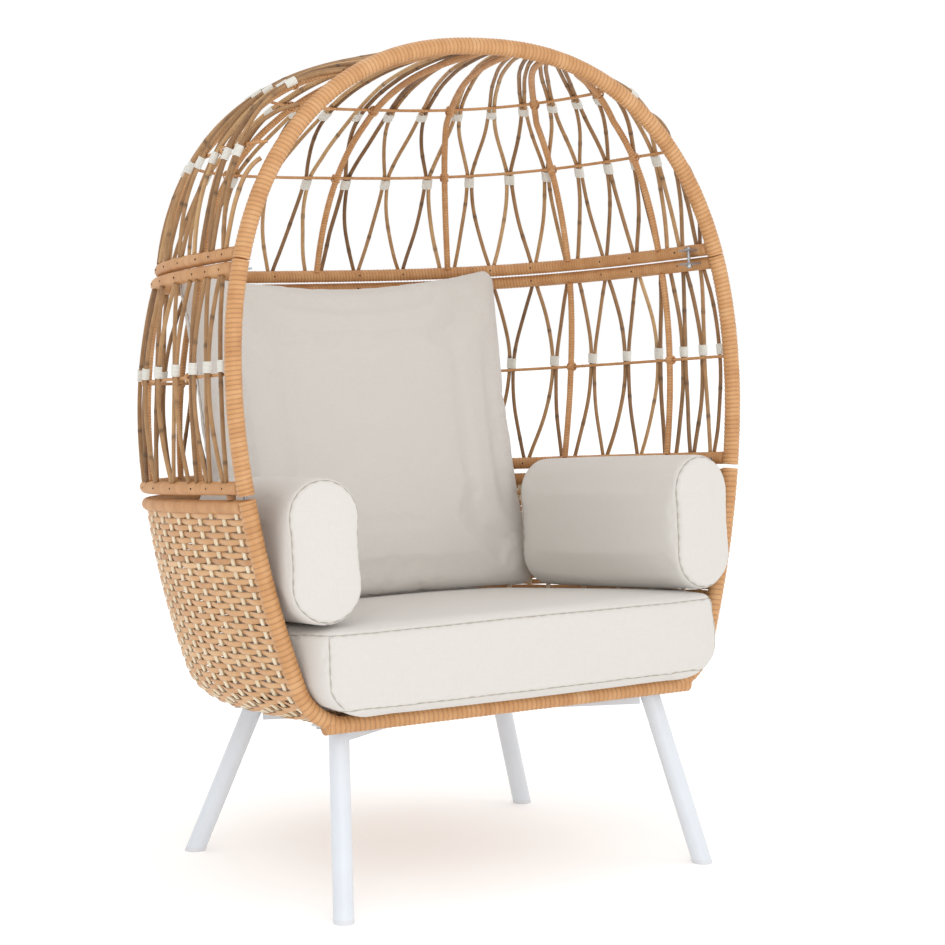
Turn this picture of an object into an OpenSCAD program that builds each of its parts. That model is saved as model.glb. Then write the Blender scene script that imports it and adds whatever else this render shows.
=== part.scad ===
// Egg-shaped garden lounge chair: a woven basket with a lattice hood in three bolted
// sections, on four splayed tube legs, with four loose cushions.
// Millimetres, +Z up, floor at z = 0, front opening towards -Y, +X to the sitter's left.
// The shell is drawn upright in its own frame (front opening in the plane y = 0) and is
// then leaned back as a whole by shell_lean.

/* [Front opening] */
// Greatest half width of the front frame, to the tube's centre line
front_half_w = 528; // [440:1:640]
// Height of the widest place
wide_z = 900; // [840:1:960]
// Height of the top of the arch, to the tube's centre line
top_z = 1506; // [1400:1:1810]
// Height of the straight bar in front of the seat
bar_z = 331; // [300:1:380]
// Radius of the two lower corners of the opening
corner_r = 66; // [40:1:90]
// How far below the widest place the lower sides would meet
lower_reach = 1055; // [900:1:1300]

/* [Shell] */
// Lean of the whole shell, in degrees
shell_lean = 5.2; // [0:0.1:8]
// Greatest depth behind the front opening
shell_depth = 781; // [680:1:900]
// Height of the joint between basket and middle section
rim_z = 731; // [690:1:780]
// Height of the joint between middle section and dome
waist_z = 1131; // [1090:1:1180]
// How strongly the back curves in above and below its deepest place, per metre
back_curve = 0.4; // [0.3:0.01:0.7]
// Distance of the front opening behind the origin at floor level
front_y = -401; // [-460:1:-340]

/* [Frame tubes] */
// Outside diameter of the wrapped front tube
front_tube_d = 30; // [24:1:38]
// Outside diameter of the wrapped rails
rail_d = 24; // [18:1:28]
// Outside diameter of the wrapped ribs
rib_d = 12.5; // [8:0.5:16]
// Outside diameter of the wrapped wires
wire_d = 6; // [4:0.5:8]
// Gap between the rails at the rim joint
rim_gap = 8; // [4:1:14]
// Gap between the rails at the waist joint
waist_gap = 1.5; // [1:0.5:6]

/* [Lattice] */
// Height of the wire in the middle section
middle_wire_z = 940; // [900:1:1000]
// Height of the lower wire in the dome
lower_wire_z = 1334; // [1290:1:1370]
// Height of the upper wire in the dome
upper_wire_z = 1450; // [1410:1:1470]
// Diameter of a vine
vine_d = 8; // [5:0.1:10]
// Height of a wound tie
tie_h = 21; // [14:1:28]
// Width of a wound tie
tie_d = 20; // [18.5:0.5:26]

/* [Basket] */
// Thickness of the woven skin
skin_t = 6; // [4:0.5:10]
// Number of stake pairs in the basket
stake_count = 45; // [25:2:55]
// Width of a stake pair
stake_w = 10; // [6:1:14]

/* [Under-frame] */
// Diameter of a leg
leg_d = 36; // [28:1:45]
// Height of a cross-bar
cross_bar_h = 28; // [20:1:40]
// Width of a cross-bar
cross_bar_w = 22; // [16:1:30]
// Half distance between the front feet
front_foot_x = 384; // [330:1:430]
// Half distance between the back feet
back_foot_x = 373; // [320:1:420]
// Place of the front feet
front_foot_y = -428; // [-470:1:-380]
// Place of the back feet
back_foot_y = 164; // [120:1:220]
// Thickness of a foot cap's sole
foot_cap_t = 8; // [4:1:14]

/* [Cushions] */
// Width of the seat cushion at the front
seat_w = 880; // [720:1:900]
// Depth of the seat cushion
seat_l = 710; // [620:1:720]
// Thickness of the seat cushion
seat_t = 160; // [110:1:180]
// Width of the back cushion
back_w = 700; // [560:1:715]
// Height of the back cushion
back_h = 645; // [500:1:650]
// Thickness of the back cushion
back_t = 110; // [90:1:120]
// Length of a side bolster
bolster_l = 470; // [380:1:475]
// Height of a side bolster
bolster_h = 250; // [180:1:265]
// Thickness of a side bolster
bolster_t = 134; // [90:1:145]
// Clearance between a cushion and what it rests on
cushion_gap = 1; // [0.5:0.5:3]

/* [Hidden] */
$fn = 32;

tan_wicker = [0.80, 0.60, 0.38];
cream_cane = [0.93, 0.87, 0.74];
vine_brown = [0.66, 0.50, 0.32];
tie_white = [0.94, 0.94, 0.92];
steel_grey = [0.75, 0.76, 0.78];
leg_white = [0.93, 0.94, 0.95];
fabric_white = [0.90, 0.88, 0.85];

front_r = front_tube_d / 2;
rail_r = rail_d / 2;
rib_r = rib_d / 2;
wire_r = wire_d / 2;
vine_r = vine_d / 2;

upper_power = 2.3;     // squareness of the front opening above its widest place
lower_power = 1.7;     // and below it
ring_power = 2.95;     // squareness of the shell seen from above
dome_power = 3;        // squareness of the dome seen from the side
dome_dip = 240;        // how far below the waist the dome's curve starts
deep_z = 586;          // height of the deepest place of the back
ring_steps = 24;       // pieces along half a rail
cells = 3;             // lattice cells between two ribs
last_cell = 4 * cells; // cells from the middle of the back to the front tube
touch = 0.4;           // gap between two vines in one tie
vine_layer = -4;       // layers of the lattice, measured inwards from the rails' centre line
wire_layer = 3.3;
rib_layer = 8.2;
tuck = 2;              // how far a cane's end goes into the wrapping of a rail

// Where ribs stand along half a rail, as [cell, share of its length]
rib_places = [[0, 0], [3, 0.30], [6, 0.575], [9, 0.835], [12, 1]];
// Where canes aim at along half the arch, as [cell, share of the waist's half width],
// and where they are fastened, further apart
arch_aims = [[0, 0], [3, 0.06], [6, 0.17], [9, 0.33], [10, 0.45], [12, 1]];
arch_ends = [[0, 0], [3, 0.15], [6, 0.30], [9, 0.44], [10, 0.50], [12, 1]];
spread_power = 4;      // how late a cane turns from its aim to its fastening
// How far the ribs of the dome lean aside by the upper wire, in cells
rib_shifts = [0.6, 0.55, 0.3, 0.25, -0.3, -0.55, -0.6];

base_rail_z = rim_z - rim_gap / 2 - rail_r;
lower_rail_z = rim_z + rim_gap / 2 + rail_r;
upper_rail_z = waist_z - waist_gap / 2 - rail_r;
dome_rail_z = waist_z + waist_gap / 2 + rail_r;

// ---- Shape of the shell -------------------------------------------------------------

// Half width of the front opening at height z, before its corners are rounded
function side_half_w(z) = z >= wide_z
    ? front_half_w * pow(1 - pow(min((z - wide_z) / (top_z - wide_z), 1), upper_power), 1 / upper_power)
    : front_half_w * pow(1 - pow((wide_z - z) / lower_reach, lower_power), 1 / lower_power);

// How far the rounded lower edge stands in from the side at height z
function edge_inset(z) = z < bar_z + corner_r
    ? corner_r - sqrt(max(0, pow(corner_r, 2) - pow(bar_z + corner_r - z, 2)))
    : 0;

// Depth of the shell at height z, up to the waist
function depth(z) = shell_depth - back_curve / 1000 * pow(z - deep_z, 2);

// Unit superellipse: angle 0 is the middle of the back, +-90 the front opening
function unit_ring(a, ratio) = [
    sign(a) * pow(abs(sin(a)), 2 / ring_power),
    ratio * pow(abs(cos(a)), 2 / ring_power)
];

// Table of [share of the length, angle] along one half of the waist ring
ring_ratio = depth(waist_z) / side_half_w(waist_z);
table_steps = 90;
table_points = [for (i = [0:table_steps]) unit_ring(i, ring_ratio)];
table_lengths = [for (i = 0, s = 0; i <= table_steps;
    s = s + (i < table_steps ? norm(table_points[i + 1] - table_points[i]) : 0), i = i + 1) s];
ring_table = [for (i = [0:table_steps]) [table_lengths[i] / table_lengths[table_steps], i]];

// Point of the shell at share f of the half ring (-1 to 1) and height z, moved in by inset
function ring_point(f, z, inset = 0) =
    let (p = unit_ring(sign(f) * lookup(abs(f), ring_table), 1),
         e = edge_inset(z) + inset)
    [(side_half_w(z) - e) * p[0], (depth(z) - e) * p[1], z];

// Share of the half ring at lattice cell k, counted from the middle of the back
function cell_share(k) = sign(k) * lookup(abs(k), rib_places);

// Where the cane of cell k aims at and ends on the arch, and the arch's height at x
function arch_aim(k) = sign(k) * lookup(abs(k), arch_aims) * side_half_w(waist_z);
function arch_end(k) = sign(k) * lookup(abs(k), arch_ends) * side_half_w(waist_z);
function arch_z(x) = wide_z + (top_z - wide_z)
    * pow(1 - pow(min(abs(x) / front_half_w, 1), upper_power), 1 / upper_power);

// Share of the way from the arch to the waist at height z of a cane that ends at height t
function dome_reach(z, t) =
    let (start = waist_z - dome_dip,
         v = min(max((z - start) / (t - start), 0), 1),
         v0 = dome_dip / (t - start))
    pow(1 - pow(v, dome_power), 1 / dome_power) / pow(1 - pow(v0, dome_power), 1 / dome_power);

// Point of the dome on the cane of cell k at height z, the share h away from the arch
function dome_place(k, z, h) =
    let (ring = ring_point(cell_share(k), waist_z),
         aim = arch_aim(k))
    [aim + (ring[0] - aim) * h + (arch_end(k) - aim) * pow(1 - h, spread_power), ring[1] * h, z];
function dome_point(k, z) = dome_place(k, z, dome_reach(z, arch_z(arch_end(k))));

// The same point, found from the share h
function dome_point_at(k, h) =
    let (start = waist_z - dome_dip,
         t = arch_z(arch_end(k)),
         g = h * pow(1 - pow(dome_dip / (t - start), dome_power), 1 / dome_power))
    dome_place(k, start + (t - start) * pow(1 - pow(g, dome_power), 1 / dome_power), h);

// ---- Swept tubes --------------------------------------------------------------------

function unit(v) = v / norm(v);
function tangent(path, i) = unit(path[min(i + 1, len(path) - 1)] - path[max(i - 1, 0)]);

// A round bar along a path; across is a direction that the path never runs along
module swept(path, r, sides, across) {
    n = len(path);
    points = [for (i = [0:n - 1])
        let (t = tangent(path, i),
             u = unit(across - (across * t) * t),
             v = cross(t, u))
        for (j = [0:sides - 1])
            path[i] + r * (cos(360 * j / sides) * u + sin(360 * j / sides) * v)];
    walls = [for (i = [0:n - 2], j = [0:sides - 1])
        let (a = i * sides + j,
             b = i * sides + (j + 1) % sides)
        each [[a, a + sides, b], [b, a + sides, b + sides]]];
    ends = [[for (j = [0:sides - 1]) j], [for (j = [sides - 1:-1:0]) (n - 1) * sides + j]];
    polyhedron(points, concat(walls, ends), convexity = 6);
}

module lean() {
    translate([0, front_y, 0]) rotate([-shell_lean, 0, 0]) children();
}

// ---- Frame --------------------------------------------------------------------------

// A rail round the sides and the back, from the front tube's one side to the other
module rail(z, r, sides, inset = 0) {
    reach = 1 - (front_r - tuck / 2) / (depth(z) + side_half_w(z));
    path = [for (i = [-ring_steps:ring_steps]) ring_point(reach * sin(90 * i / ring_steps), z, inset)];
    lean() swept(path, r, sides, [0, 0, 1]);
}

module front_tube(path) {
    lean() swept(path, front_r, 12, [0, 1, 0]);
}

module base_front_tube() {
    z0 = rim_z - rim_gap / 2;
    z1 = bar_z + corner_r;
    side = [for (i = [0:5]) let (z = z0 + (z1 - z0) * i / 6) [side_half_w(z), 0, z]];
    bend = [for (a = [0:15:90]) let (z = bar_z + corner_r * (1 - sin(a)))
        [side_half_w(z) - corner_r * (1 - cos(a)), 0, z]];
    right = concat(side, bend);
    n = len(right);
    color(tan_wicker)
    front_tube(concat(right, [for (i = [n - 1:-1:0]) [-right[i][0], 0, right[i][2]]]));
}

module middle_post(side) {
    z0 = rim_z + rim_gap / 2;
    z1 = waist_z - waist_gap / 2;
    color(tan_wicker)
    front_tube([for (i = [0:8]) let (z = z0 + (z1 - z0) * i / 8) [side * side_half_w(z), 0, z]]);
}

module middle_post_left() { middle_post(-1); }
module middle_post_right() { middle_post(1); }

module dome_arch() {
    a0 = asin(pow((waist_z + waist_gap / 2 - wide_z) / (top_z - wide_z), upper_power / 2));
    steps = 36;
    color(tan_wicker)
    front_tube([for (i = [0:steps]) let (a = a0 + (180 - 2 * a0) * i / steps)
        [front_half_w * sign(cos(a)) * pow(abs(cos(a)), 2 / upper_power), 0,
         wide_z + (top_z - wide_z) * pow(sin(a), 2 / upper_power)]]);
}

module base_rim_rail() { color(tan_wicker) rail(base_rail_z, rail_r, 8); }
module middle_lower_rail() { color(tan_wicker) rail(lower_rail_z, rail_r, 8); }
module middle_upper_rail() { color(tan_wicker) rail(upper_rail_z, rail_r, 8); }
module dome_rail() { color(tan_wicker) rail(dome_rail_z, rail_r, 8); }

// ---- Ribs, wires, vines and ties ----------------------------------------------------

rib_cells = [for (i = [-3:3]) cells * i];
rib_steps = 8;
arch_stop = front_r - tuck;

module middle_rib(i) {
    z0 = lower_rail_z + rail_r - tuck;
    z1 = upper_rail_z - rail_r + tuck;
    k = rib_cells[i - 1];
    path = [for (j = [0:rib_steps]) middle_inner(k, z0 + (z1 - z0) * j / rib_steps, rib_layer)];
    color(tan_wicker) lean() swept(path, rib_r, 8, [path[0][1], -path[0][0], 0]);
}

// Cell of rib i at the share h away from the arch
function rib_cell(i, h) = rib_cells[i - 1] + rib_shifts[i - 1] * min(1, (1 - h) / 0.3);
module dome_rib(i) {
    z0 = dome_rail_z + rail_r - tuck;
    k = rib_cells[i - 1];
    h_start = dome_reach(z0, arch_z(arch_end(k)));
    h_end = arch_stop / waist_y(rib_cell(i, 0));
    steps = rib_steps + 2;
    path = [for (j = [0:steps])
        let (h = h_end + (h_start - h_end) * cos(90 * j / steps), c = rib_cell(i, h))
        dome_layer(c, h, rib_layer)];
    color(tan_wicker) lean() swept(path, rib_r, 8, [path[0][1], -path[0][0], 0]);
}

module middle_rib_1() { middle_rib(1); }
module middle_rib_2() { middle_rib(2); }
module middle_rib_3() { middle_rib(3); }
module middle_rib_4() { middle_rib(4); }
module middle_rib_5() { middle_rib(5); }
module middle_rib_6() { middle_rib(6); }
module middle_rib_7() { middle_rib(7); }
module dome_rib_1() { dome_rib(1); }
module dome_rib_2() { dome_rib(2); }
module dome_rib_3() { dome_rib(3); }
module dome_rib_4() { dome_rib(4); }
module dome_rib_5() { dome_rib(5); }
module dome_rib_6() { dome_rib(6); }
module dome_rib_7() { dome_rib(7); }

// Point on the lattice of the dome or the middle section, o further in
function inner(p0, p, p1, o) = let (t = p1 - p0) p + o * unit([t[1], -t[0], 0]);
function dome_layer(k, h, o) =
    let (across = dome_point_at(k + 0.05, h) - dome_point_at(k - 0.05, h),
         along = dome_point_at(k, h + 0.005) - dome_point_at(k, h - 0.005))
    dome_point_at(k, h) + o * unit(cross(along, across));
function dome_inner(k, z, o) = dome_layer(k, dome_reach(z, arch_z(arch_end(k))), o);
function middle_point(k, z) = ring_point(cell_share(k), z);
function middle_inner(k, z, o) =
    inner(middle_point(k - 0.05, z), middle_point(k, z), middle_point(k + 0.05, z), o);

// The last cell that a wire at height z reaches before it meets the arch
function wire_end(z) = max([for (k = [9:0.02:11.9])
    if (arch_z(arch_end(k)) > z && dome_point(k, z)[1] >= arch_stop + wire_layer) k]);

module dome_wire(z) {
    k_end = wire_end(z);
    path = [for (i = [-ring_steps:ring_steps])
        dome_inner(k_end * sin(90 * i / ring_steps), z, wire_layer)];
    color(tan_wicker) lean() swept(path, wire_r, 6, [0, 0, 1]);
}
module dome_lower_wire() { dome_wire(lower_wire_z); }
module dome_upper_wire() { dome_wire(upper_wire_z); }
module middle_wire() { color(tan_wicker) rail(middle_wire_z, wire_r, 6, wire_layer); }

// Half the distance between two vines that touch, in cells, where a cell is wide
function vine_half(wide) = (vine_r + touch / 2) / wide;
function dome_cell_w(k, z) = 2 * norm(dome_point(k + 0.25, z) - dome_point(k - 0.25, z));
function middle_cell_w(k, z) = 2 * norm(middle_point(k + 0.25, z) - middle_point(k - 0.25, z));
function is_rib(k) = len([for (r = rib_cells) if (r == k) r]) > 0;
// Distance of a vine's foot from its node, in cells, clear of a rib that stands there
function foot_half(k, wide) = vine_half(wide) * (is_rib(k) ? (rib_r + vine_d) / vine_r : 1.2);

vine_steps = 4;
vine_sides = 5;
vine_nodes = [for (k = [1 - last_cell:last_cell - 1]) k];

// Cell that a vine of the dome has reached at height z: from its node to a tie at the
// middle of the next cell, and back to its own cell at the upper wire
function vine_cell(k, side, z) =
    let (z0 = dome_rail_z + rail_r - tuck,
         low = foot_half(k, dome_cell_w(k, z0)),
         mid = 0.5 - vine_half(dome_cell_w(k + side / 2, lower_wire_z)),
         top = vine_half(dome_cell_w(k, upper_wire_z)),
         q = (z - z0) / (lower_wire_z - z0),
         p = (z - lower_wire_z) / (upper_wire_z - lower_wire_z))
    k + side * (q <= 1 ? low + (mid - low) * sin(90 * q)
        : mid + (top - mid) * (0.6 * sin(90 * p) + 0.2 * (1 - cos(180 * p))));
vine_fan = 0.24;         // half the distance between twin vines at the arch, in cells
function waist_y(k) = ring_point(cell_share(k), waist_z)[1];
function has_room(c, z) =
    arch_z(arch_end(c)) > z + front_r && dome_point(c, z)[1] > arch_stop + front_r;

// One vine of the dome, ending at the arch beside its twin
module dome_vine(k, side) {
    z0 = dome_rail_z + rail_r - tuck;
    levels = concat([for (i = [0:vine_steps]) z0 + (lower_wire_z - z0) * i / vine_steps],
        [for (i = [1:vine_steps]) lower_wire_z + (upper_wire_z - lower_wire_z) * i / vine_steps]);
    route = [for (z = levels) let (c = vine_cell(k, side, z)) if (has_room(c, z)) [c, z]];
    last = route[len(route) - 1];
    h0 = dome_point(last[0], last[1])[1] / waist_y(last[0]);
    k_top = len(route) == len(levels) ? k + side * vine_fan : last[0];
    finish = [for (i = [1:3]) let (q = i / 3, c = last[0] + (k_top - last[0]) * q)
        [c, h0 + (arch_stop / waist_y(c) - h0) * q]];
    path = concat([for (c = route) dome_inner(c[0], c[1], vine_layer)],
        [for (c = finish) dome_layer(c[0], c[1], vine_layer)]);
    swept(path, vine_r, vine_sides, [path[0][1], -path[0][0], 0]);
}
module dome_vines() {
    color(vine_brown) lean() for (k = vine_nodes, side = [-1, 1]) dome_vine(k, side);
}

// One vine of the middle section: bowed out to the tie beside its node
module middle_vine(k, side) {
    z0 = lower_rail_z + rail_r - tuck;
    z1 = upper_rail_z - rail_r + tuck;
    foot = foot_half(k, middle_cell_w(k, z1));
    out = 0.5 - vine_half(middle_cell_w(k + side / 2, middle_wire_z)) - foot;
    levels = concat([for (i = [0:vine_steps - 1]) [z0, i / vine_steps]],
        [for (i = [vine_steps:-1:0]) [z1, i / vine_steps]]);
    path = [for (v = levels) middle_inner(k + side * (foot + out * sin(90 * v[1])),
        v[0] + (middle_wire_z - v[0]) * v[1], vine_layer)];
    swept(path, vine_r, vine_sides, [path[0][1], -path[0][0], 0]);
}
module middle_vines() {
    color(vine_brown) lean() for (k = vine_nodes, side = [-1, 1]) middle_vine(k, side);
}

// A wound tie round two vines, drawn flat and standing at the point p. It faces the
// direction out and runs along the direction up.
module tie(p, out, up) {
    turn = atan2(out[1], out[0]) - 90;
    translate(p) rotate([0, 0, turn]) rotate([asin(-up * [cos(turn + 90), sin(turn + 90), 0]), 0, 0])
        linear_extrude(tie_h, center = true) difference() {
            square([tie_d, tie_thick], center = true);
            square([2 * vine_d + 2 * touch, vine_d + touch], center = true);
        }
}
tie_thick = vine_d + 3.4;
tie_drop = wire_r + 1 + tie_h / 2;
module dome_ties(cells_list, z) {
    color(tie_white) lean() for (k = cells_list)
        tie(dome_inner(k, z, vine_layer), dome_point(k, z) - dome_inner(k, z, 1),
            unit(dome_inner(k, z + 4, vine_layer) - dome_inner(k, z - 4, vine_layer)));
}
module dome_lower_ties() {
    dome_ties([for (k = [1.5 - last_cell:last_cell - 1.5]) k], lower_wire_z - tie_drop);
}
module dome_upper_ties() {
    dome_ties([for (k = [2 - last_cell:last_cell - 2]) k], upper_wire_z - tie_drop);
}
module middle_ties() {
    z = middle_wire_z + tie_drop;
    color(tie_white) lean() for (k = [0.5 - last_cell:last_cell - 0.5])
        tie(middle_inner(k, z, vine_layer), middle_point(k, z) - middle_inner(k, z, 1),
            unit(middle_inner(k, z + 4, vine_layer) - middle_inner(k, z - 4, vine_layer)));
}

// ---- Bolted joints between the three sections ---------------------------------------

rim_joint_cells = [-11.1, -1.5, 1.5, 11.1];
waist_joint_cells = [-11.1, 11.1];
// Each joint: [cell, height, distance of its rails' centre lines from that height]
joints = concat([for (k = rim_joint_cells) [k, rim_z, rim_gap / 2 + rail_r]],
    [for (k = waist_joint_cells) [k, waist_z, waist_gap / 2 + rail_r]]);
plate_t = 3;            // thickness of a joint plate
plate_w = 30;           // width of a joint plate
plate_reach = 26;       // how far a plate stands out inside its rail
bolt_d = 6;             // shank of a joint bolt
bolt_play = 0.3;        // radial play of a bolt in its holes
bolt_in = rail_r + 14;  // distance of a bolt inside the rail's centre line
bolt_head_h = 4;
nut_h = 5;
thread_end = 2;         // how far a bolt's end stands out of its nut

// Places its children at cell k of the joint at height z, +Y pointing into the chair
module at_joint(k, z) {
    p = middle_point(k, z);
    t = middle_point(k + 0.05, z) - middle_point(k - 0.05, z);
    translate(p) rotate([0, 0, atan2(-t[0], t[1]) - 90]) children();
}

// One tab on each of the two rails, and a long bolt through both with its nut
module joint_plates() {
    color(steel_grey) lean() for (j = joints) at_joint(j[0], j[1])
        for (z = [-j[2], j[2]]) difference() {
            translate([-plate_w / 2, 0, z - plate_t / 2]) cube([plate_w, rail_r + plate_reach, plate_t]);
            translate([0, bolt_in, z])
                cylinder(d = bolt_d + 2 * bolt_play, h = 2 * plate_t, center = true);
        }
}
module joint_bolts() {
    color(steel_grey) lean() for (j = joints) at_joint(j[0], j[1])
        translate([0, bolt_in, 0]) {
            low = -j[2] - plate_t / 2 - nut_h - thread_end;
            translate([0, 0, j[2] + plate_t / 2]) cylinder(d = 2 * bolt_d, h = bolt_head_h);
            translate([0, 0, low]) cylinder(d = bolt_d, h = j[2] + plate_t / 2 - low);
        }
}
module joint_nuts() {
    color(steel_grey) lean() for (j = joints) at_joint(j[0], j[1])
        translate([0, bolt_in, -j[2] - plate_t / 2 - nut_h]) difference() {
            cylinder(d = 1.9 * bolt_d, h = nut_h, $fn = 6);
            translate([0, 0, -1]) cylinder(d = bolt_d + 0.1, h = nut_h + 2);
        }
}
module rim_spacers() {
    color(tan_wicker) lean() for (k = rim_joint_cells) at_joint(k, rim_z)
        cylinder(d = 16, h = rim_gap - 0.2, center = true);
}

// ---- Basket -------------------------------------------------------------------------

edge_y = front_r - tuck;
basket_cols = 14;
side_rows = 5;
edge_steps = 5;

// Level i of the basket: [height, inset], the wall offset outwards by o
function basket_level(i, o) = i <= side_rows
    ? let (z0 = base_rail_z - rail_r + tuck, z1 = bar_z + corner_r) [z0 + (z1 - z0) * i / side_rows, -o]
    : let (a = 90 * (i - side_rows) / edge_steps, r = corner_r + o)
        [bar_z + corner_r - r * sin(a), corner_r - r * cos(a)];

// Point of the basket wall at share f of the half ring on level i
function basket_point(f, i, o) =
    let (lv = basket_level(i, o),
         u = unit_ring(sign(f) * lookup(abs(f), ring_table), 1),
         z = lv[0])
    [(side_half_w(z) - lv[1]) * u[0], max((depth(z) - lv[1]) * u[1], edge_y), z];

module basket_skin() {
    rows = side_rows + edge_steps;
    n = 2 * basket_cols + 1;
    shares = [for (j = [-basket_cols:basket_cols]) j / basket_cols];
    points = [for (o = [skin_t / 2, -skin_t / 2], i = [0:rows], f = shares) basket_point(f, i, o)];
    inner_at = (rows + 1) * n;
    walls = [for (i = [0:rows - 1], j = [0:n - 2])
        let (a = i * n + j, b = a + n)
        each [[a, a + 1, b], [a + 1, b + 1, b],
              [inner_at + a, inner_at + b, inner_at + a + 1],
              [inner_at + a + 1, inner_at + b, inner_at + b + 1]]];
    rim = [for (j = [0:n - 2]) each [[j, inner_at + j, j + 1], [j + 1, inner_at + j, inner_at + j + 1]]];
    edges = [for (i = [0:rows - 1])
        let (a = i * n, b = a + n, c = a + n - 1, d = b + n - 1)
        each [[a, b, inner_at + a], [b, inner_at + b, inner_at + a],
              [c, inner_at + c, d], [d, inner_at + c, inner_at + d]]];
    last = rows * n;
    floors = [[for (j = [0:n - 1]) last + j], [for (j = [n - 1:-1:0]) inner_at + last + j],
              [last, last + n - 1, inner_at + last],
              [last + n - 1, inner_at + last + n - 1, inner_at + last]];
    color(tan_wicker) lean() polyhedron(points, concat(walls, rim, edges, floors), convexity = 10);
}

// The stake pairs stand against the inside of the woven wall
module basket_stakes() {
    levels = [0, 2, 4, 5, 6, 7, 8, 9];
    back = skin_t / 2 + stake_t / 2 + 0.3;
    half = (stake_count - 1) / 2;
    color(cream_cane) lean() for (s = [-half:half]) {
        f = s / (half + 1);
        path = [for (i = levels) basket_point(f, i, -back)];
        side = basket_point(f + 0.01, 2, -back) - basket_point(f - 0.01, 2, -back);
        strip(path, stake_w, stake_t, side);
    }
}
stake_t = 4;

// A flat bar along a path, w wide along the direction across and t thick
module strip(path, w, t, across) {
    n = len(path);
    corners = [[-w / 2, -t / 2], [w / 2, -t / 2], [w / 2, t / 2], [-w / 2, t / 2]];
    points = [for (i = [0:n - 1])
        let (d = tangent(path, i),
             u = unit(across - (across * d) * d),
             v = cross(d, u))
        for (c = corners) path[i] + c[0] * u + c[1] * v];
    walls = [for (i = [0:n - 2], j = [0:3])
        let (a = i * 4 + j, b = i * 4 + (j + 1) % 4)
        each [[a, a + 4, b], [b, a + 4, b + 4]]];
    ends = [[0, 1, 2, 3], [for (j = [3:-1:0]) (n - 1) * 4 + j]];
    polyhedron(points, concat(walls, ends), convexity = 4);
}

// ---- Under-frame --------------------------------------------------------------------

leg_wall = 1.8;
leg_plate_t = 4;
leg_plate_w = 70;
floor_z = bar_z - skin_t / 2;      // underside of the woven floor, in the shell's frame
front_leg_x = 332;                 // half distance between the front legs' tops
back_leg_x = 271;                  // and the back legs'
front_leg_in = 50;                 // distance of the front legs' tops behind the opening
back_leg_in = 481;                 // and of the back legs'
leg_bolt_d = 8;

// A point of the leaned shell's frame, in the chair's frame
function leaned(p) = [p[0],
    front_y + p[1] * cos(shell_lean) + p[2] * sin(shell_lean),
    p[2] * cos(shell_lean) - p[1] * sin(shell_lean)];

function leg_top(x, front) = front
    ? [x * front_leg_x, front_leg_in, floor_z]
    : [x * back_leg_x, back_leg_in, floor_z];
function leg_foot(x, front) = front
    ? [x * front_foot_x, front_foot_y, 0]
    : [x * back_foot_x, back_foot_y, 0];

// A round bar from a to b, longer by over at both ends. It is turned about its own axis, so
// that its seam runs beside the slanted cuts' steepest places.
seam_turn = 37;
module rod(a, b, d, over = 0) {
    v = b - a;
    translate(a - over * unit(v))
        rotate([0, acos(v[2] / norm(v)), atan2(v[1], v[0])]) rotate([0, 0, seam_turn])
            cylinder(d = d, h = norm(v) + 2 * over);
}

// Everything of a leg between the sole and the leg plate
module between_sole_and_plate() {
    intersection() {
        children();
        translate([-1000, -1000, foot_cap_t]) cube([2000, 2000, 1000]);
        lean() translate([-1000, -1000, -1000])
            cube([2000, 3000, 1000 + floor_z - leg_plate_t]);
    }
}
module leg(x, front) {
    a = leg_foot(x, front);
    b = leaned(leg_top(x, front));
    color(leg_white) between_sole_and_plate() difference() {
        rod(a, b, leg_d, 60);
        rod(a, b, leg_d - 2 * leg_wall, 80);
    }
}
module leg_front_left() { leg(-1, true); }
module leg_front_right() { leg(1, true); }
module leg_back_left() { leg(-1, false); }
module leg_back_right() { leg(1, false); }

cap_plug_h = 22;
module foot(x, front) {
    a = leg_foot(x, front);
    b = leaned(leg_top(x, front));
    color(leg_white) intersection() {
        rod(a, b, leg_d, 60);
        translate([-1000, -1000, 0]) cube([2000, 2000, foot_cap_t]);
    }
    color(leg_white) intersection() {
        rod(a, b, leg_d - 2 * leg_wall - 0.4, 60);
        translate([-1000, -1000, foot_cap_t / 2]) cube([2000, 2000, cap_plug_h]);
    }
}
module foot_front_left() { foot(-1, true); }
module foot_front_right() { foot(1, true); }
module foot_back_left() { foot(-1, false); }
module foot_back_right() { foot(1, false); }

bar_top = floor_z - leg_plate_t;
bar_angle = atan2(back_leg_in - front_leg_in, front_leg_x + back_leg_x);
bar_length = norm([front_leg_x + back_leg_x, back_leg_in - front_leg_in]);

// A cross-bar from the front leg on side x to the back leg on the other side
module cross_bar(x) {
    translate([x * front_leg_x, front_leg_in, bar_top - cross_bar_h])
        rotate([0, 0, x < 0 ? bar_angle : 180 - bar_angle])
            translate([leg_d / 2 - 3, -cross_bar_w / 2, 0])
                children();
}
module bar_box() {
    cube([bar_length - leg_d + 6, cross_bar_w, cross_bar_h]);
}
module cross_bar_long() {
    color(leg_white) lean() cross_bar(-1) bar_box();
}
module cross_bar_split() {
    color(leg_white) lean() difference() {
        cross_bar(1) bar_box();
        translate([0, 0, -1]) cross_bar(-1)
            translate([0, -0.05, 0]) cube([bar_length, cross_bar_w + 0.1, cross_bar_h + 2]);
    }
}

// A plate on each leg, bolted up through the woven floor
bolt_out = 24;
bolt_spots = [[-bolt_out, -bolt_out], [-bolt_out, bolt_out], [bolt_out, -bolt_out]];

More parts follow.
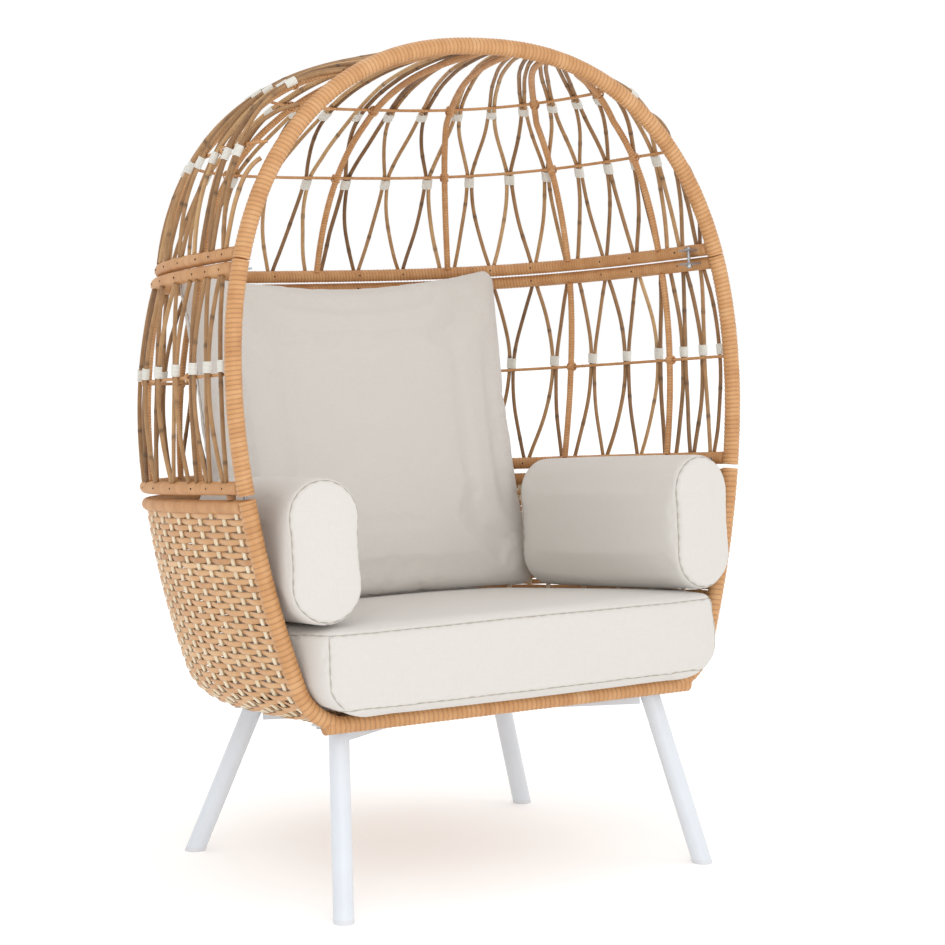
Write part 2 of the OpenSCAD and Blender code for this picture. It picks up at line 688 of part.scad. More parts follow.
// Turns the corner with no bolt towards the cross-bar
function leg_turn(x, front) = front ? (x < 0 ? 0 : 90) : (x > 0 ? 180 : 270);
module at_legs() {
    lean() for (x = [-1, 1], front = [true, false])
        translate(leg_top(x, front)) rotate([0, 0, leg_turn(x, front)]) children();
}
module leg_plates() {
    color(leg_white) at_legs() difference() {
        translate([-leg_plate_w / 2, -leg_plate_w / 2, -leg_plate_t])
            cube([leg_plate_w, leg_plate_w, leg_plate_t - 0.1]);
        for (p = bolt_spots) translate([p[0], p[1], -2 * leg_plate_t])
            cylinder(d = leg_bolt_d + 2 * bolt_play, h = 3 * leg_plate_t);
    }
}
module leg_bolts() {
    color(steel_grey) at_legs() for (p = bolt_spots)
        translate([p[0], p[1], -leg_plate_t - leg_bolt_head_h]) {
            cylinder(d = 13, h = leg_bolt_head_h);
            cylinder(d = leg_bolt_d, h = leg_bolt_head_h + leg_plate_t - 0.2);
        }
}
leg_bolt_head_h = 5;

// ---- Cushions -----------------------------------------------------------------------

deck_z = bar_z + front_r + cushion_gap;     // plane that the seat cushion lies on

// The seat cushion's outline from above
module seat_plan() {
    hull() for (x = [-1, 1]) {
        translate([x * (seat_front_w / 2 - seat_corner_r), seat_corner_r]) circle(seat_corner_r);
        translate([x * (seat_w / 2 - seat_bulge_r), seat_bulge_in]) circle(seat_bulge_r);
        translate([x * (seat_back_w / 2 - seat_back_r), seat_l - seat_back_r]) circle(seat_back_r);
    }
}
// and from the front: its sides follow the front tube as far as its width allows
function seat_side(z) =
    let (bend = pow(corner_r - front_r - cushion_gap, 2) - pow(max(0, bar_z + corner_r - deck_z - z), 2))
    min(seat_w / 2, side_half_w(deck_z + z) - corner_r + sqrt(max(0, bend)) - seat_side_gap);
module seat_front_view() {
    levels = [for (i = [0:seat_levels]) seat_t * i / seat_levels];
    polygon(concat([for (z = levels) [seat_side(z), z]],
        [for (i = [seat_levels:-1:0]) [-seat_side(levels[i]), levels[i]]]));
}
seat_levels = 8;
seat_side_gap = 7;        // clearance between the seat cushion and the front tube
seat_front = -70;         // front face of the seat cushion, over the front bar
seat_front_w = 824;
seat_corner_r = 25;
seat_bulge_r = 60;        // rounding where the cushion is widest
seat_bulge_in = 130;      // how far behind its front face that is
seat_back_w = 560;
seat_back_r = 120;
module seat_cushion() {
    color(fabric_white) lean() translate([0, seat_front, deck_z]) intersection() {
        linear_extrude(seat_t) seat_plan();
        translate([0, seat_l + 1, 0]) rotate([90, 0, 0]) linear_extrude(seat_l + 2) seat_front_view();
    }
}
seat_top = deck_z + seat_t;

back_lean = 9;
back_foot_in = 398;       // front face of the back cushion behind the opening, at its foot
back_edge_t = 22;         // thickness of the back cushion along its sewn edge
back_edge_lift = 6.2;     // how far that edge stays above the roll at the cushion's foot
back_roll_r = 13;         // radius of the roll, which the cushion tips on
back_corner_r = 45;       // corner radius of the sewn edge
back_face_inset = 80;     // how far the full thickness stays inside the edge

// A rounded plate of the back cushion, inset from its edge all round
module back_plate(inset, t) {
    x = back_w / 2 - inset - back_corner_r;
    y = (back_h - back_edge_lift) / 2 - inset - back_corner_r;
    translate([0, (back_t + t) / 2, (back_h + back_edge_lift) / 2]) rotate([90, 0, 0])
        linear_extrude(t) hull() for (sx = [-1, 1], sy = [-1, 1])
            translate([sx * x, sy * y]) circle(back_corner_r);
}
module back_cushion() {
    roll_z = seat_top + cushion_gap + back_roll_r;
    foot_z = roll_z + back_t / 2 * sin(back_lean) - back_roll_r * cos(back_lean);
    color(fabric_white) lean() translate([0, back_foot_in, foot_z]) rotate([-back_lean, 0, 0]) {
        hull() {
            back_plate(0, back_edge_t);
            back_plate(back_face_inset, back_t);
        }
        translate([0, back_t / 2, back_roll_r]) rotate([0, 90, 0])
            cylinder(r = back_roll_r, h = back_w - 2 * back_corner_r, center = true);
    }
}

bolster_x = 400;          // middle of a bolster's front end from the middle of the chair
bolster_turn = 6;         // how far its back end turns in, in degrees
bolster_front = -66;      // its front end behind the opening
module bolster(side) {
    r = bolster_t / 2;
    color(fabric_white) lean()
        translate([side * bolster_x, bolster_front, seat_top + cushion_gap + r])
            rotate([-90, 0, side * bolster_turn]) linear_extrude(bolster_l) hull() {
                circle(r);
                translate([0, -(bolster_h - bolster_t)]) circle(r);
            }
}
module bolster_left() { bolster(-1); }
module bolster_right() { bolster(1); }

base_front_tube();
base_rim_rail();
basket_skin();
basket_stakes();
middle_post_left();
middle_post_right();
middle_lower_rail();
middle_upper_rail();
middle_rib_1();
middle_rib_2();
middle_rib_3();
middle_rib_4();
middle_rib_5();
middle_rib_6();
middle_rib_7();
middle_wire();
middle_vines();
middle_ties();
dome_arch();
dome_rail();
dome_rib_1();
dome_rib_2();
dome_rib_3();
dome_rib_4();
dome_rib_5();
dome_rib_6();
dome_rib_7();
dome_lower_wire();
dome_upper_wire();
dome_vines();
dome_lower_ties();
dome_upper_ties();
joint_plates();
joint_bolts();
joint_nuts();
rim_spacers();
leg_front_left();
leg_front_right();
leg_back_left();
leg_back_right();
foot_front_left();
foot_front_right();
foot_back_left();
foot_back_right();
cross_bar_long();
cross_bar_split();
leg_plates();
leg_bolts();
seat_cushion();
back_cushion();
bolster_left();
bolster_right();
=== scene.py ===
import math
import random

import bpy
import numpy as np
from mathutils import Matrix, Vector


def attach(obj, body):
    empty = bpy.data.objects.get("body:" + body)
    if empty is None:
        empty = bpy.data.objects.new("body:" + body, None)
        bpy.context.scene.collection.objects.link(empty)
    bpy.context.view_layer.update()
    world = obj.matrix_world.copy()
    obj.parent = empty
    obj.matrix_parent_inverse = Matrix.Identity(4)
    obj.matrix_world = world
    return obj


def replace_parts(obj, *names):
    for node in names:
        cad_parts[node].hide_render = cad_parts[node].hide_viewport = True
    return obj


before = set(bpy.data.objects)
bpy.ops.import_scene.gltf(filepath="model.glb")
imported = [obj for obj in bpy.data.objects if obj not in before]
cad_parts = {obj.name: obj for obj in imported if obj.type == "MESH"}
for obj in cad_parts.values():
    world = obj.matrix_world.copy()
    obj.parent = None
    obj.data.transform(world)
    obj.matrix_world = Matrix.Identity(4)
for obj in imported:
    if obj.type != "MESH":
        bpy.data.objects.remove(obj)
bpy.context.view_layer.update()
rng = random.Random(11)

# ---- Sizes of the CAD source, in millimetres -------------------------------------------
FRONT_HALF_W, WIDE_Z, TOP_Z, BAR_Z, CORNER_R, LOWER_REACH = 528, 900, 1506, 331, 66, 1055
SHELL_LEAN, SHELL_DEPTH, RIM_Z, WAIST_Z, BACK_CURVE, FRONT_Y = 5.2, 781, 731, 1131, 0.4, -401
FRONT_R, RAIL_R, RIB_R, WIRE_R, VINE_R = 15, 12, 6.25, 3, 4
RIM_GAP, WAIST_GAP = 8, 1.5
MIDDLE_WIRE_Z, LOWER_WIRE_Z, UPPER_WIRE_Z = 940, 1334, 1450
UPPER_POWER, LOWER_POWER, RING_POWER, DOME_POWER = 2.3, 1.7, 2.95, 3
DOME_DIP, DEEP_Z, LAST_CELL, SPREAD_POWER = 240, 586, 12, 4
VINE_LAYER, WIRE_LAYER, RIB_LAYER, TUCK = -4, 3.3, 8.2, 2
RIB_PLACES = ([0, 3, 6, 9, 12], [0, 0.30, 0.575, 0.835, 1])
ARCH_AIMS = ([0, 3, 6, 9, 10, 12], [0, 0.06, 0.17, 0.33, 0.45, 1])
ARCH_ENDS = ([0, 3, 6, 9, 10, 12], [0, 0.15, 0.30, 0.44, 0.50, 1])
RIB_CELLS = [-9, -6, -3, 0, 3, 6, 9]
RIB_SHIFTS = [0.6, 0.55, 0.3, 0.25, -0.3, -0.55, -0.6]
TOUCH, TIE_H, TIE_W = 0.4, 21, 20
BASE_RAIL_Z = RIM_Z - RIM_GAP / 2 - RAIL_R
LOWER_RAIL_Z = RIM_Z + RIM_GAP / 2 + RAIL_R
UPPER_RAIL_Z = WAIST_Z - WAIST_GAP / 2 - RAIL_R
DOME_RAIL_Z = WAIST_Z + WAIST_GAP / 2 + RAIL_R
STAKES = 45


# ---- Shape of the shell ----------------------------------------------------------------
def side_half_w(z):
    if z >= WIDE_Z:
        share = min((z - WIDE_Z) / (TOP_Z - WIDE_Z), 1)
        return FRONT_HALF_W * (1 - share**UPPER_POWER) ** (1 / UPPER_POWER)
    return FRONT_HALF_W * (1 - ((WIDE_Z - z) / LOWER_REACH) ** LOWER_POWER) ** (1 / LOWER_POWER)


def edge_inset(z):
    if z >= BAR_Z + CORNER_R:
        return 0.0
    return CORNER_R - math.sqrt(max(0, CORNER_R**2 - (BAR_Z + CORNER_R - z) ** 2))


def depth(z):
    return SHELL_DEPTH - BACK_CURVE / 1000 * (z - DEEP_Z) ** 2


def unit_ring(degrees, ratio=1.0):
    a = math.radians(degrees)
    return (math.copysign(abs(math.sin(a)) ** (2 / RING_POWER), a),
            ratio * abs(math.cos(a)) ** (2 / RING_POWER))


_ring = np.array([unit_ring(i, depth(WAIST_Z) / side_half_w(WAIST_Z)) for i in range(91)])
_arc = np.concatenate([[0], np.cumsum(np.linalg.norm(np.diff(_ring, axis=0), axis=1))])
_arc /= _arc[-1]


def ring_angle(f):
    return math.copysign(float(np.interp(min(abs(f), 1), _arc, range(91))), f)


def ring_point(f, z, inset=0.0):
    p = unit_ring(ring_angle(f))
    e = edge_inset(z) + inset
    return np.array([(side_half_w(z) - e) * p[0], (depth(z) - e) * p[1], z])


def cell_share(k):
    return math.copysign(float(np.interp(abs(k), *RIB_PLACES)), k)


def arch_aim(k):
    return math.copysign(float(np.interp(abs(k), *ARCH_AIMS)), k) * side_half_w(WAIST_Z)


def arch_end(k):
    return math.copysign(float(np.interp(abs(k), *ARCH_ENDS)), k) * side_half_w(WAIST_Z)


def arch_z(x):
    share = min(abs(x) / FRONT_HALF_W, 1)
    return WIDE_Z + (TOP_Z - WIDE_Z) * (1 - share**UPPER_POWER) ** (1 / UPPER_POWER)


def dome_reach(z, top):
    start = WAIST_Z - DOME_DIP
    v = min(max((z - start) / (top - start), 0), 1)
    v0 = DOME_DIP / (top - start)
    return (1 - v**DOME_POWER) ** (1 / DOME_POWER) / (1 - v0**DOME_POWER) ** (1 / DOME_POWER)


def dome_at(k, h):
    """Point of the dome on the cane of cell k, the share h away from the arch."""
    start = WAIST_Z - DOME_DIP
    top = arch_z(arch_end(k))
    g = h * (1 - (DOME_DIP / (top - start)) ** DOME_POWER) ** (1 / DOME_POWER)
    z = start + (top - start) * (1 - abs(g) ** DOME_POWER * (1 if g > 0 else -1)) ** (1 / DOME_POWER)
    ring = ring_point(cell_share(k), WAIST_Z)
    x = arch_aim(k) + (ring[0] - arch_aim(k)) * h + (arch_end(k) - arch_aim(k)) * (1 - h) ** SPREAD_POWER
    return np.array([x, ring[1] * h, z])


def dome_h(k, z):
    return dome_reach(z, arch_z(arch_end(k)))


def dome_layer(k, h, inward):
    across = dome_at(k + 0.05, h) - dome_at(k - 0.05, h)
    along = dome_at(k, h + 0.005) - dome_at(k, h - 0.005)
    normal = np.cross(along, across)
    return dome_at(k, h) + inward * normal / np.linalg.norm(normal)


def middle_layer(k, z, inward):
    t = ring_point(cell_share(k + 0.05), z) - ring_point(cell_share(k - 0.05), z)
    normal = np.array([t[1], -t[0], 0])
    return ring_point(cell_share(k), z) + inward * normal / np.linalg.norm(normal)


_c, _s = math.cos(math.radians(SHELL_LEAN)), math.sin(math.radians(SHELL_LEAN))


def leaned(points):
    p = np.atleast_2d(np.asarray(points, float))
    return np.stack([p[:, 0], FRONT_Y + p[:, 1] * _c + p[:, 2] * _s, p[:, 2] * _c - p[:, 1] * _s], 1) / 1000


def arc_length(points):
    """Distance along a path of points to each of them."""
    return np.concatenate([[0], np.cumsum(np.linalg.norm(np.diff(points, axis=0), axis=1))])


def at_length(points, at):
    """Points of a path at the given distances along it."""
    s = arc_length(points)
    return np.stack([np.interp(at, s, points[:, i]) for i in range(points.shape[1])], 1)


def evenly(points, count):
    """A closed outline as count points, evenly spaced from its first one."""
    points = np.array(list(points) + [points[0]])
    return at_length(points, np.linspace(0, arc_length(points)[-1], count, endpoint=False))


def unit(v):
    v = np.asarray(v, float)
    return v / np.maximum(np.linalg.norm(v, axis=-1, keepdims=True), 1e-12)


def resampled(points, step):
    """The path as evenly spaced points about step apart."""
    p = np.asarray(points, float)
    length = arc_length(p)[-1]
    return at_length(p, np.linspace(0, length, max(math.ceil(length / step), 2) + 1))


def smoothed(points, rounds=2):
    """Each round halves the steps along a rounded path and keeps the ends."""
    p = np.asarray(points, float)
    for _ in range(rounds):
        q = np.empty((2 * len(p) - 1, 3))
        q[::2] = p
        mid = (p[:-1] + p[1:]) / 2
        inner = (-p[:-3] + 9 * p[1:-2] + 9 * p[2:-1] - p[3:]) / 16 if len(p) > 3 else mid[1:-1]
        mid[1:-1] = inner
        q[1::2] = mid
        p = q
    return p


# ---- Mesh makers -----------------------------------------------------------------------
class Soup:
    """Collects vertices, faces and two per-vertex values, and turns them into one piece."""

    def __init__(self):
        self.verts, self.faces, self.tone, self.mark, self.count = [], [], [], [], 0

    def add(self, verts, quads, tone, mark, tris=None):
        self.verts.append(np.asarray(verts, float))
        n = len(verts)
        self.faces += (np.asarray(quads) + self.count).tolist()
        if tris is not None and len(tris):
            self.faces += (np.asarray(tris) + self.count).tolist()
        self.tone.append(np.broadcast_to(np.asarray(tone, float), (n,)))
        self.mark.append(np.broadcast_to(np.asarray(mark, float), (n,)))
        self.count += n

    def piece(self, name, material, body="chair", slot=None, lean=True):
        verts = np.concatenate(self.verts)
        verts = leaned(verts) if lean else verts / 1000
        mesh = bpy.data.meshes.new(name)
        mesh.from_pydata(verts.tolist(), [], self.faces)
        mesh.validate()
        mesh.update()
        mesh.shade_smooth()
        for key, values in (("tone", self.tone), ("mark", self.mark)):
            attr = mesh.attributes.new(key, "FLOAT", "POINT")
            attr.data.foreach_set("value", np.concatenate(values).astype(np.float32))
        mesh.materials.append(material)
        obj = bpy.data.objects.new(name, mesh)
        bpy.context.scene.collection.objects.link(obj)
        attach(obj, body)
        return obj


def path_frames(path, ref):
    s = arc_length(path)
    t = unit(np.gradient(path, axis=0))
    ref = np.broadcast_to(np.asarray(ref, float), path.shape)
    u = unit(ref - np.sum(ref * t, 1, keepdims=True) * t)
    return s, t, u, np.cross(t, u)


def grid_quads(rows, cols):
    """Quads of a grid of rows x cols vertices, the columns closed into a ring."""
    i, j = np.meshgrid(np.arange(rows - 1), np.arange(cols), indexing="ij")
    a = i * cols + j
    b = i * cols + (j + 1) % cols
    return np.stack([a, a + cols, b + cols, b], -1).reshape(-1, 4)


def fan(ring, centre):
    ring = list(ring)
    return [[ring[j], ring[(j + 1) % len(ring)], centre] for j in range(len(ring))]


def end_fans(rows, cols):
    """Triangles that close a grid's two end rings with the two vertices after the grid."""
    n = rows * cols
    return fan(range(cols), n) + fan(range(n - 1, n - cols - 1, -1), n + 1)


def round_power(cosines, power):
    """Keeps the sign and raises the size, which squares a circle's coordinates off."""
    return np.sign(cosines) * np.abs(cosines) ** power


def tube(soup, path, radius, sides, tone=0.5, mark=0.0, ref=(0, 0, 1)):
    """A round bar along a path. radius, tone and mark may change along it."""
    path = np.asarray(path, float)
    n = len(path)
    s, t, u, v = path_frames(path, ref)
    a = 2 * np.pi * np.arange(sides)[None, :, None] / sides
    r = np.broadcast_to(np.asarray(radius, float), (n,))[:, None, None]
    rings = path[:, None] + r * (np.cos(a) * u[:, None] + np.sin(a) * v[:, None])
    verts = np.concatenate([rings.reshape(-1, 3), path[:1], path[-1:]])
    tones = np.broadcast_to(np.asarray(tone, float), (n,))
    marks = np.broadcast_to(np.asarray(mark, float), (n,))
    soup.add(verts, grid_quads(n, sides),
             np.concatenate([np.repeat(tones, sides), tones[[0, -1]]]),
             np.concatenate([np.repeat(marks, sides), marks[[0, -1]]]), end_fans(n, sides))


WRAP_PROFILE = np.array([0.0, 0.72, 0.97, 1.0, 0.97, 0.72])  # a strand's height across its width
SQUEEZED = 3  # turns pressed together at each end


def wrapped(soup, path, radius, pitch, groove, sides=14, ref=(0, 0, 1), spread=0.16, base=0.5):
    """A bar wound round with a flat strand: the grid itself follows the winding, and its first
    and last turns are squeezed flat against the bar's ends."""
    path = resampled(path, pitch / 3)
    s, t, u, v = path_frames(path, ref)
    per = len(WRAP_PROFILE)
    turns = max(2 * SQUEEZED, round(s[-1] / pitch) + SQUEEZED)
    pitch = s[-1] / (turns - SQUEEZED)
    n = turns * per
    rows = n - per + 1
    index = np.full((n + 1, sides + 1), -1)
    at, angle, height, number = [], [], [], []
    for j in range(sides):
        for i in range(n + 1 if j == 0 else rows):
            index[i, j] = len(at)
            at.append((i / per + j / sides) * pitch)
            angle.append(2 * np.pi * j / sides)
            height.append(WRAP_PROFILE[i % per])
            number.append(i // per)
    index[: n - per + 1, sides] = index[per: n + 1, 0]
    at, angle, height = np.array(at), np.array(angle), np.array(height)
    number = np.array(number)
    rest = (turns + 1) * pitch - at
    # turns near the ends keep full height: no groove in the shape and no painted groove shade
    height = np.where(np.minimum(at, rest) < 2 * pitch, 1.0, height)
    reach = SQUEEZED * pitch
    squeeze = reach**3 / pitch
    at = np.where(at < reach, at**3 / squeeze,
                  np.where(rest < reach, s[-1] - rest**3 / squeeze, at - 2 * pitch))
    where = [np.stack([np.interp(at, s, q[:, c]) for c in range(3)], 1) for q in (path, u, v)]
    wobble = np.array([rng.uniform(-1, 1) for _ in range(turns + 2)])
    r = radius - groove * (1 - height) + 0.12 * groove * wobble[number]
    angle = angle[:, None]
    verts = where[0] + r[:, None] * (np.cos(angle) * unit(where[1]) + np.sin(angle) * unit(where[2]))
    low, high = index[:rows - 1], index[1:rows]
    quads = np.stack([low[:, :-1], high[:, :-1], high[:, 1:], low[:, 1:]], -1)
    start = list(index[0, :sides]) + list(index[per:0:-1, 0])
    end = list(index[rows - 1, :sides]) + list(index[n:rows - 1:-1, 0])
    tris = fan(start, len(verts)) + fan(end[::-1], len(verts) + 1)
    tones = base + spread * np.array([rng.uniform(-1, 1) for _ in range(turns + 2)])
    tones = 0.6 * tones + 0.4 * np.roll(tones, 1)
    # height goes in as mark: the material paints the grooves between turns darker as painted shade
    soup.add(np.concatenate([verts, path[:1], path[-1:]]), quads.reshape(-1, 4),
             np.concatenate([tones[number], [base, base]]), np.concatenate([height, [1, 1]]), tris)


def knot(soup, centre, axis_a, axis_b, normal, half, r, strand=1.3):
    """Strands crossed over a joint of two canes, as two slanted closed loops."""
    angles = np.radians(np.arange(0, 360, 18))[:, None]
    for sign in (-1, 1):
        a = unit(unit(axis_a) + sign * unit(axis_b))
        b = unit(normal)
        side = unit(np.cross(a, b))
        for shift in (-strand, strand):
            loop = centre + shift * side + np.cos(angles) * a * half + np.sin(angles) * b * r
            ring(soup, loop, strand, 6, np.cross(a, b), 0.5 + 0.2 * sign)


def ring(soup, loop, radius, sides, ref, tone, mark=1.0):
    """A closed round strand through the points of a loop."""
    n = len(loop)
    t = unit(np.roll(loop, -1, 0) - np.roll(loop, 1, 0))
    ref = np.broadcast_to(np.asarray(ref, float), loop.shape)
    u = unit(ref - np.sum(ref * t, 1, keepdims=True) * t)
    v = np.cross(t, u)
    a = 2 * np.pi * np.arange(sides)[None, :, None] / sides
    verts = (loop[:, None] + radius * (np.cos(a) * u[:, None] + np.sin(a) * v[:, None])).reshape(-1, 3)
    i, j = np.meshgrid(np.arange(n), np.arange(sides), indexing="ij")
    k, m = (i + 1) % n, (j + 1) % sides
    quads = np.stack([i * sides + j, k * sides + j, k * sides + m, i * sides + m], -1).reshape(-1, 4)
    soup.add(verts, quads, tone, mark)

# ---- Materials -------------------------------------------------------------------------
class Nodes:
    """Short hands for a material's node tree."""

    def __init__(self, name):
        self.mat = bpy.data.materials.new(name)
        self.mat.use_nodes = True
        self.tree = self.mat.node_tree
        self.bsdf = self.tree.nodes["Principled BSDF"]

    def new(self, kind, **values):
        node = self.tree.nodes.new(kind)
        for key, value in values.items():
            if key in node.inputs:
                node.inputs[key].default_value = value
            else:
                setattr(node, key, value)
        return node

    def link(self, a, b):
        self.tree.links.new(a, b)

    def attribute(self, name):
        return self.new("ShaderNodeAttribute", attribute_name=name).outputs["Fac"]

    def position(self):
        return self.new("ShaderNodeTexCoord").outputs["Object"]

    def noise(self, scale, detail=4.0, vector=None, rough=0.55):
        node = self.new("ShaderNodeTexNoise")
        node.inputs["Scale"].default_value = scale
        node.inputs["Detail"].default_value = detail
        node.inputs["Roughness"].default_value = rough
        self.link(vector or self.position(), node.inputs["Vector"])
        return node.outputs["Fac"]

    def stretched(self, scale, vector=None):
        node = self.new("ShaderNodeMapping")
        node.inputs["Scale"].default_value = scale
        self.link(vector or self.position(), node.inputs["Vector"])
        return node.outputs["Vector"]

    def math(self, operation, a, b=0.0, clamp=False):
        node = self.new("ShaderNodeMath", operation=operation, use_clamp=clamp)
        for socket, value in zip(node.inputs, (a, b)):
            if isinstance(value, (int, float)):
                socket.default_value = value
            else:
                self.link(value, socket)
        return node.outputs["Value"]

    def ramp(self, value, stops):
        node = self.new("ShaderNodeValToRGB")
        elements = node.color_ramp.elements
        while len(elements) < len(stops):
            elements.new(0.5)
        for element, (place, colour) in zip(elements, stops):
            element.position = place
            element.color = (*colour, 1)
        self.link(value, node.inputs["Fac"])
        return node.outputs["Color"]

    def mix(self, factor, a, b, blend="MIX"):
        node = self.new("ShaderNodeMix", data_type="RGBA", blend_type=blend)
        sockets = {s.identifier: s for s in node.inputs}
        for key, value in (("Factor_Float", factor), ("A_Color", a), ("B_Color", b)):
            if isinstance(value, (int, float)):
                sockets[key].default_value = value
            elif isinstance(value, tuple):
                sockets[key].default_value = (*value, 1)
            else:
                self.link(value, sockets[key])
        return {s.identifier: s for s in node.outputs}["Result_Color"]

    def bump(self, height, strength, distance):
        node = self.new("ShaderNodeBump")
        node.inputs["Strength"].default_value = strength
        node.inputs["Distance"].default_value = distance
        self.link(height, node.inputs["Height"])
        self.link(node.outputs["Normal"], self.bsdf.inputs["Normal"])

    def varied_tone(self, blotch, amount):
        """The piece's own tone value, shifted by a blotchy noise."""
        shift = self.math("MULTIPLY", self.math("SUBTRACT", blotch, 0.5), amount)
        return self.math("ADD", self.attribute("tone"), shift, clamp=True)

    def set(self, **values):
        for key, value in values.items():
            self.bsdf.inputs[key.replace("_", " ")].default_value = value


def srgb(*rgb):
    """Linear colour of an sRGB colour that is lighter than the curve's straight foot."""
    return tuple(((c / 255 + 0.055) / 1.055) ** 2.4 for c in rgb)


def cane_material(name, dark, mid, light, rough=0.5, depth=0.5):
    """Split cane or its plastic twin: tone picks the strand's colour, mark is 1 on the crown of
    a strand and 0 in the groove beside it, where the colour is painted darker as painted shade."""
    n = Nodes(name)
    grain = n.noise(900.0, 3.0, n.stretched((1.0, 1.0, 0.25)))
    tone = n.varied_tone(n.noise(26.0, 4.0), 0.9)
    colour = n.ramp(tone, [(0.0, dark), (0.5, mid), (1.0, light)])
    colour = n.mix(n.math("MULTIPLY", n.math("SUBTRACT", grain, 0.45, clamp=True), 0.6), colour, dark)
    # painted shade: the groove between strands is mixed towards half the dark colour, as strong as depth
    groove = n.math("SUBTRACT", 1.0, n.attribute("mark"), clamp=True)
    shade = tuple(0.5 * c for c in dark)
    colour = n.mix(n.math("MULTIPLY", n.math("POWER", groove, 1.3), depth), colour, shade)
    n.link(colour, n.bsdf.inputs["Base Color"])
    n.set(Roughness=rough, Coat_Weight=0.12, Coat_Roughness=0.35)
    n.bump(grain, 0.25, 0.0004)
    return n.mat


def vine_material():
    n = Nodes("vine_bark")
    streak = n.noise(420.0, 4.0, n.stretched((1.0, 1.0, 0.12)))
    tone = n.varied_tone(n.noise(34.0, 5.0), 0.7)
    colour = n.ramp(tone, [(0.0, srgb(104, 72, 42)), (0.35, srgb(140, 102, 62)), (0.7, srgb(168, 128, 84)),
                           (1.0, srgb(190, 154, 108))])
    streaks = n.math("MULTIPLY", n.math("SUBTRACT", streak, 0.5, clamp=True), 1.6)
    colour = n.mix(streaks, colour, srgb(86, 62, 38))
    colour = n.mix(n.attribute("mark"), colour, srgb(64, 46, 30))
    n.link(colour, n.bsdf.inputs["Base Color"])
    n.set(Roughness=0.58, Coat_Weight=0.08, Coat_Roughness=0.4)
    n.bump(streak, 0.35, 0.0005)
    return n.mat


def tie_material():
    n = Nodes("white_winding")
    fibre = n.noise(1500.0, 2.0, n.stretched((0.3, 0.3, 1.0)))
    # painted shade: the grooves between the winding's ridges are mixed towards a grey
    groove = n.math("SUBTRACT", 1.0, n.attribute("mark"), clamp=True)
    colour = n.mix(n.math("MULTIPLY", groove, 0.65), n.mix(fibre, srgb(226, 224, 214), srgb(246, 245, 240)),
                   srgb(150, 146, 134))
    n.link(colour, n.bsdf.inputs["Base Color"])
    n.set(Roughness=0.7)
    n.bump(fibre, 0.2, 0.0003)
    return n.mat


def fabric_material(name, base):
    """A fine plain weave with slubs, soft sheen and a slightly mottled colour."""
    n = Nodes(name)
    at = n.position()
    waves = []
    for axis in "XYZ":
        wave = n.new("ShaderNodeTexWave", wave_type="BANDS", bands_direction=axis)
        wave.inputs["Scale"].default_value = 380.0
        wave.inputs["Distortion"].default_value = 1.2
        wave.inputs["Detail"].default_value = 2.0
        n.link(at, wave.inputs["Vector"])
        waves.append(wave.outputs["Fac"])
    weave = n.math("ADD", n.math("ADD", waves[0], waves[1]), waves[2])
    slub = n.noise(700.0, 3.0, n.stretched((0.08, 1.0, 1.0)))
    slub2 = n.noise(700.0, 3.0, n.stretched((1.0, 1.0, 0.08)))
    cloud = n.noise(9.0, 3.0)
    threads = n.math("ADD", n.math("MULTIPLY", slub, 0.5), n.math("MULTIPLY", slub2, 0.5))
    light = tuple(min(1.0, 1.05 * c) for c in base)
    dim = tuple(0.86 * c for c in base)
    colour = n.mix(threads, dim, light)
    colour = n.mix(n.math("MULTIPLY", cloud, 0.25), colour, tuple(0.93 * c for c in base))
    n.link(colour, n.bsdf.inputs["Base Color"])
    n.set(Roughness=0.92, Sheen_Weight=0.25, Sheen_Roughness=0.5, Specular_IOR_Level=0.25)
    n.bump(n.math("ADD", n.math("MULTIPLY", weave, 0.25), threads), 0.35, 0.0004)
    return n.mat


def plain_material(name, base, rough, metal=0.0, grain=900.0, vary=0.06, coat=0.0):
    n = Nodes(name)
    peel = n.noise(grain, 3.0)
    cloud = n.noise(14.0, 3.0)
    colour = n.mix(cloud, tuple((1 - vary) * c for c in base), tuple(min(1, (1 + vary) * c) for c in base))
    n.link(colour, n.bsdf.inputs["Base Color"])
    n.link(n.math("ADD", n.math("MULTIPLY", peel, 0.12), rough - 0.06), n.bsdf.inputs["Roughness"])
    n.set(Metallic=metal, Coat_Weight=coat, Coat_Roughness=0.25)
    n.bump(peel, 0.12, 0.0003)
    return n.mat


WRAP = cane_material("wrapped_strand", srgb(170, 116, 66), srgb(196, 144, 92), srgb(214, 170, 122))
WEAVE = cane_material("woven_strand", srgb(176, 124, 76), srgb(202, 154, 104), srgb(220, 182, 136))
STAKE = cane_material("cream_stake", srgb(206, 184, 148), srgb(230, 214, 184), srgb(240, 230, 208), 0.45)
VINE = vine_material()
TIE = tie_material()
FABRIC = fabric_material("linen_fabric", srgb(209, 205, 199))
SEAM = fabric_material("seam_thread", srgb(176, 168, 156))
POWDER = plain_material("white_powder_coat", srgb(208, 213, 219), 0.38, grain=1400.0, coat=0.2)
CAP = plain_material("foot_cap_plastic", srgb(206, 208, 212), 0.5, grain=1100.0)
STEEL = plain_material("dull_zinc_steel", srgb(172, 174, 178), 0.42, metal=0.9, grain=700.0)
NAIL = plain_material("dark_nail", srgb(58, 44, 32), 0.5, metal=0.3, grain=800.0)

# ---- Frame: wrapped tubes --------------------------------------------------------------
ARCH_PITCH, RAIL_PITCH, RIB_PITCH, WIRE_PITCH = 8.0, 6.8, 5.7, 4.6
ARCH_STOP = FRONT_R - TUCK
ROW_PITCH = 11.3


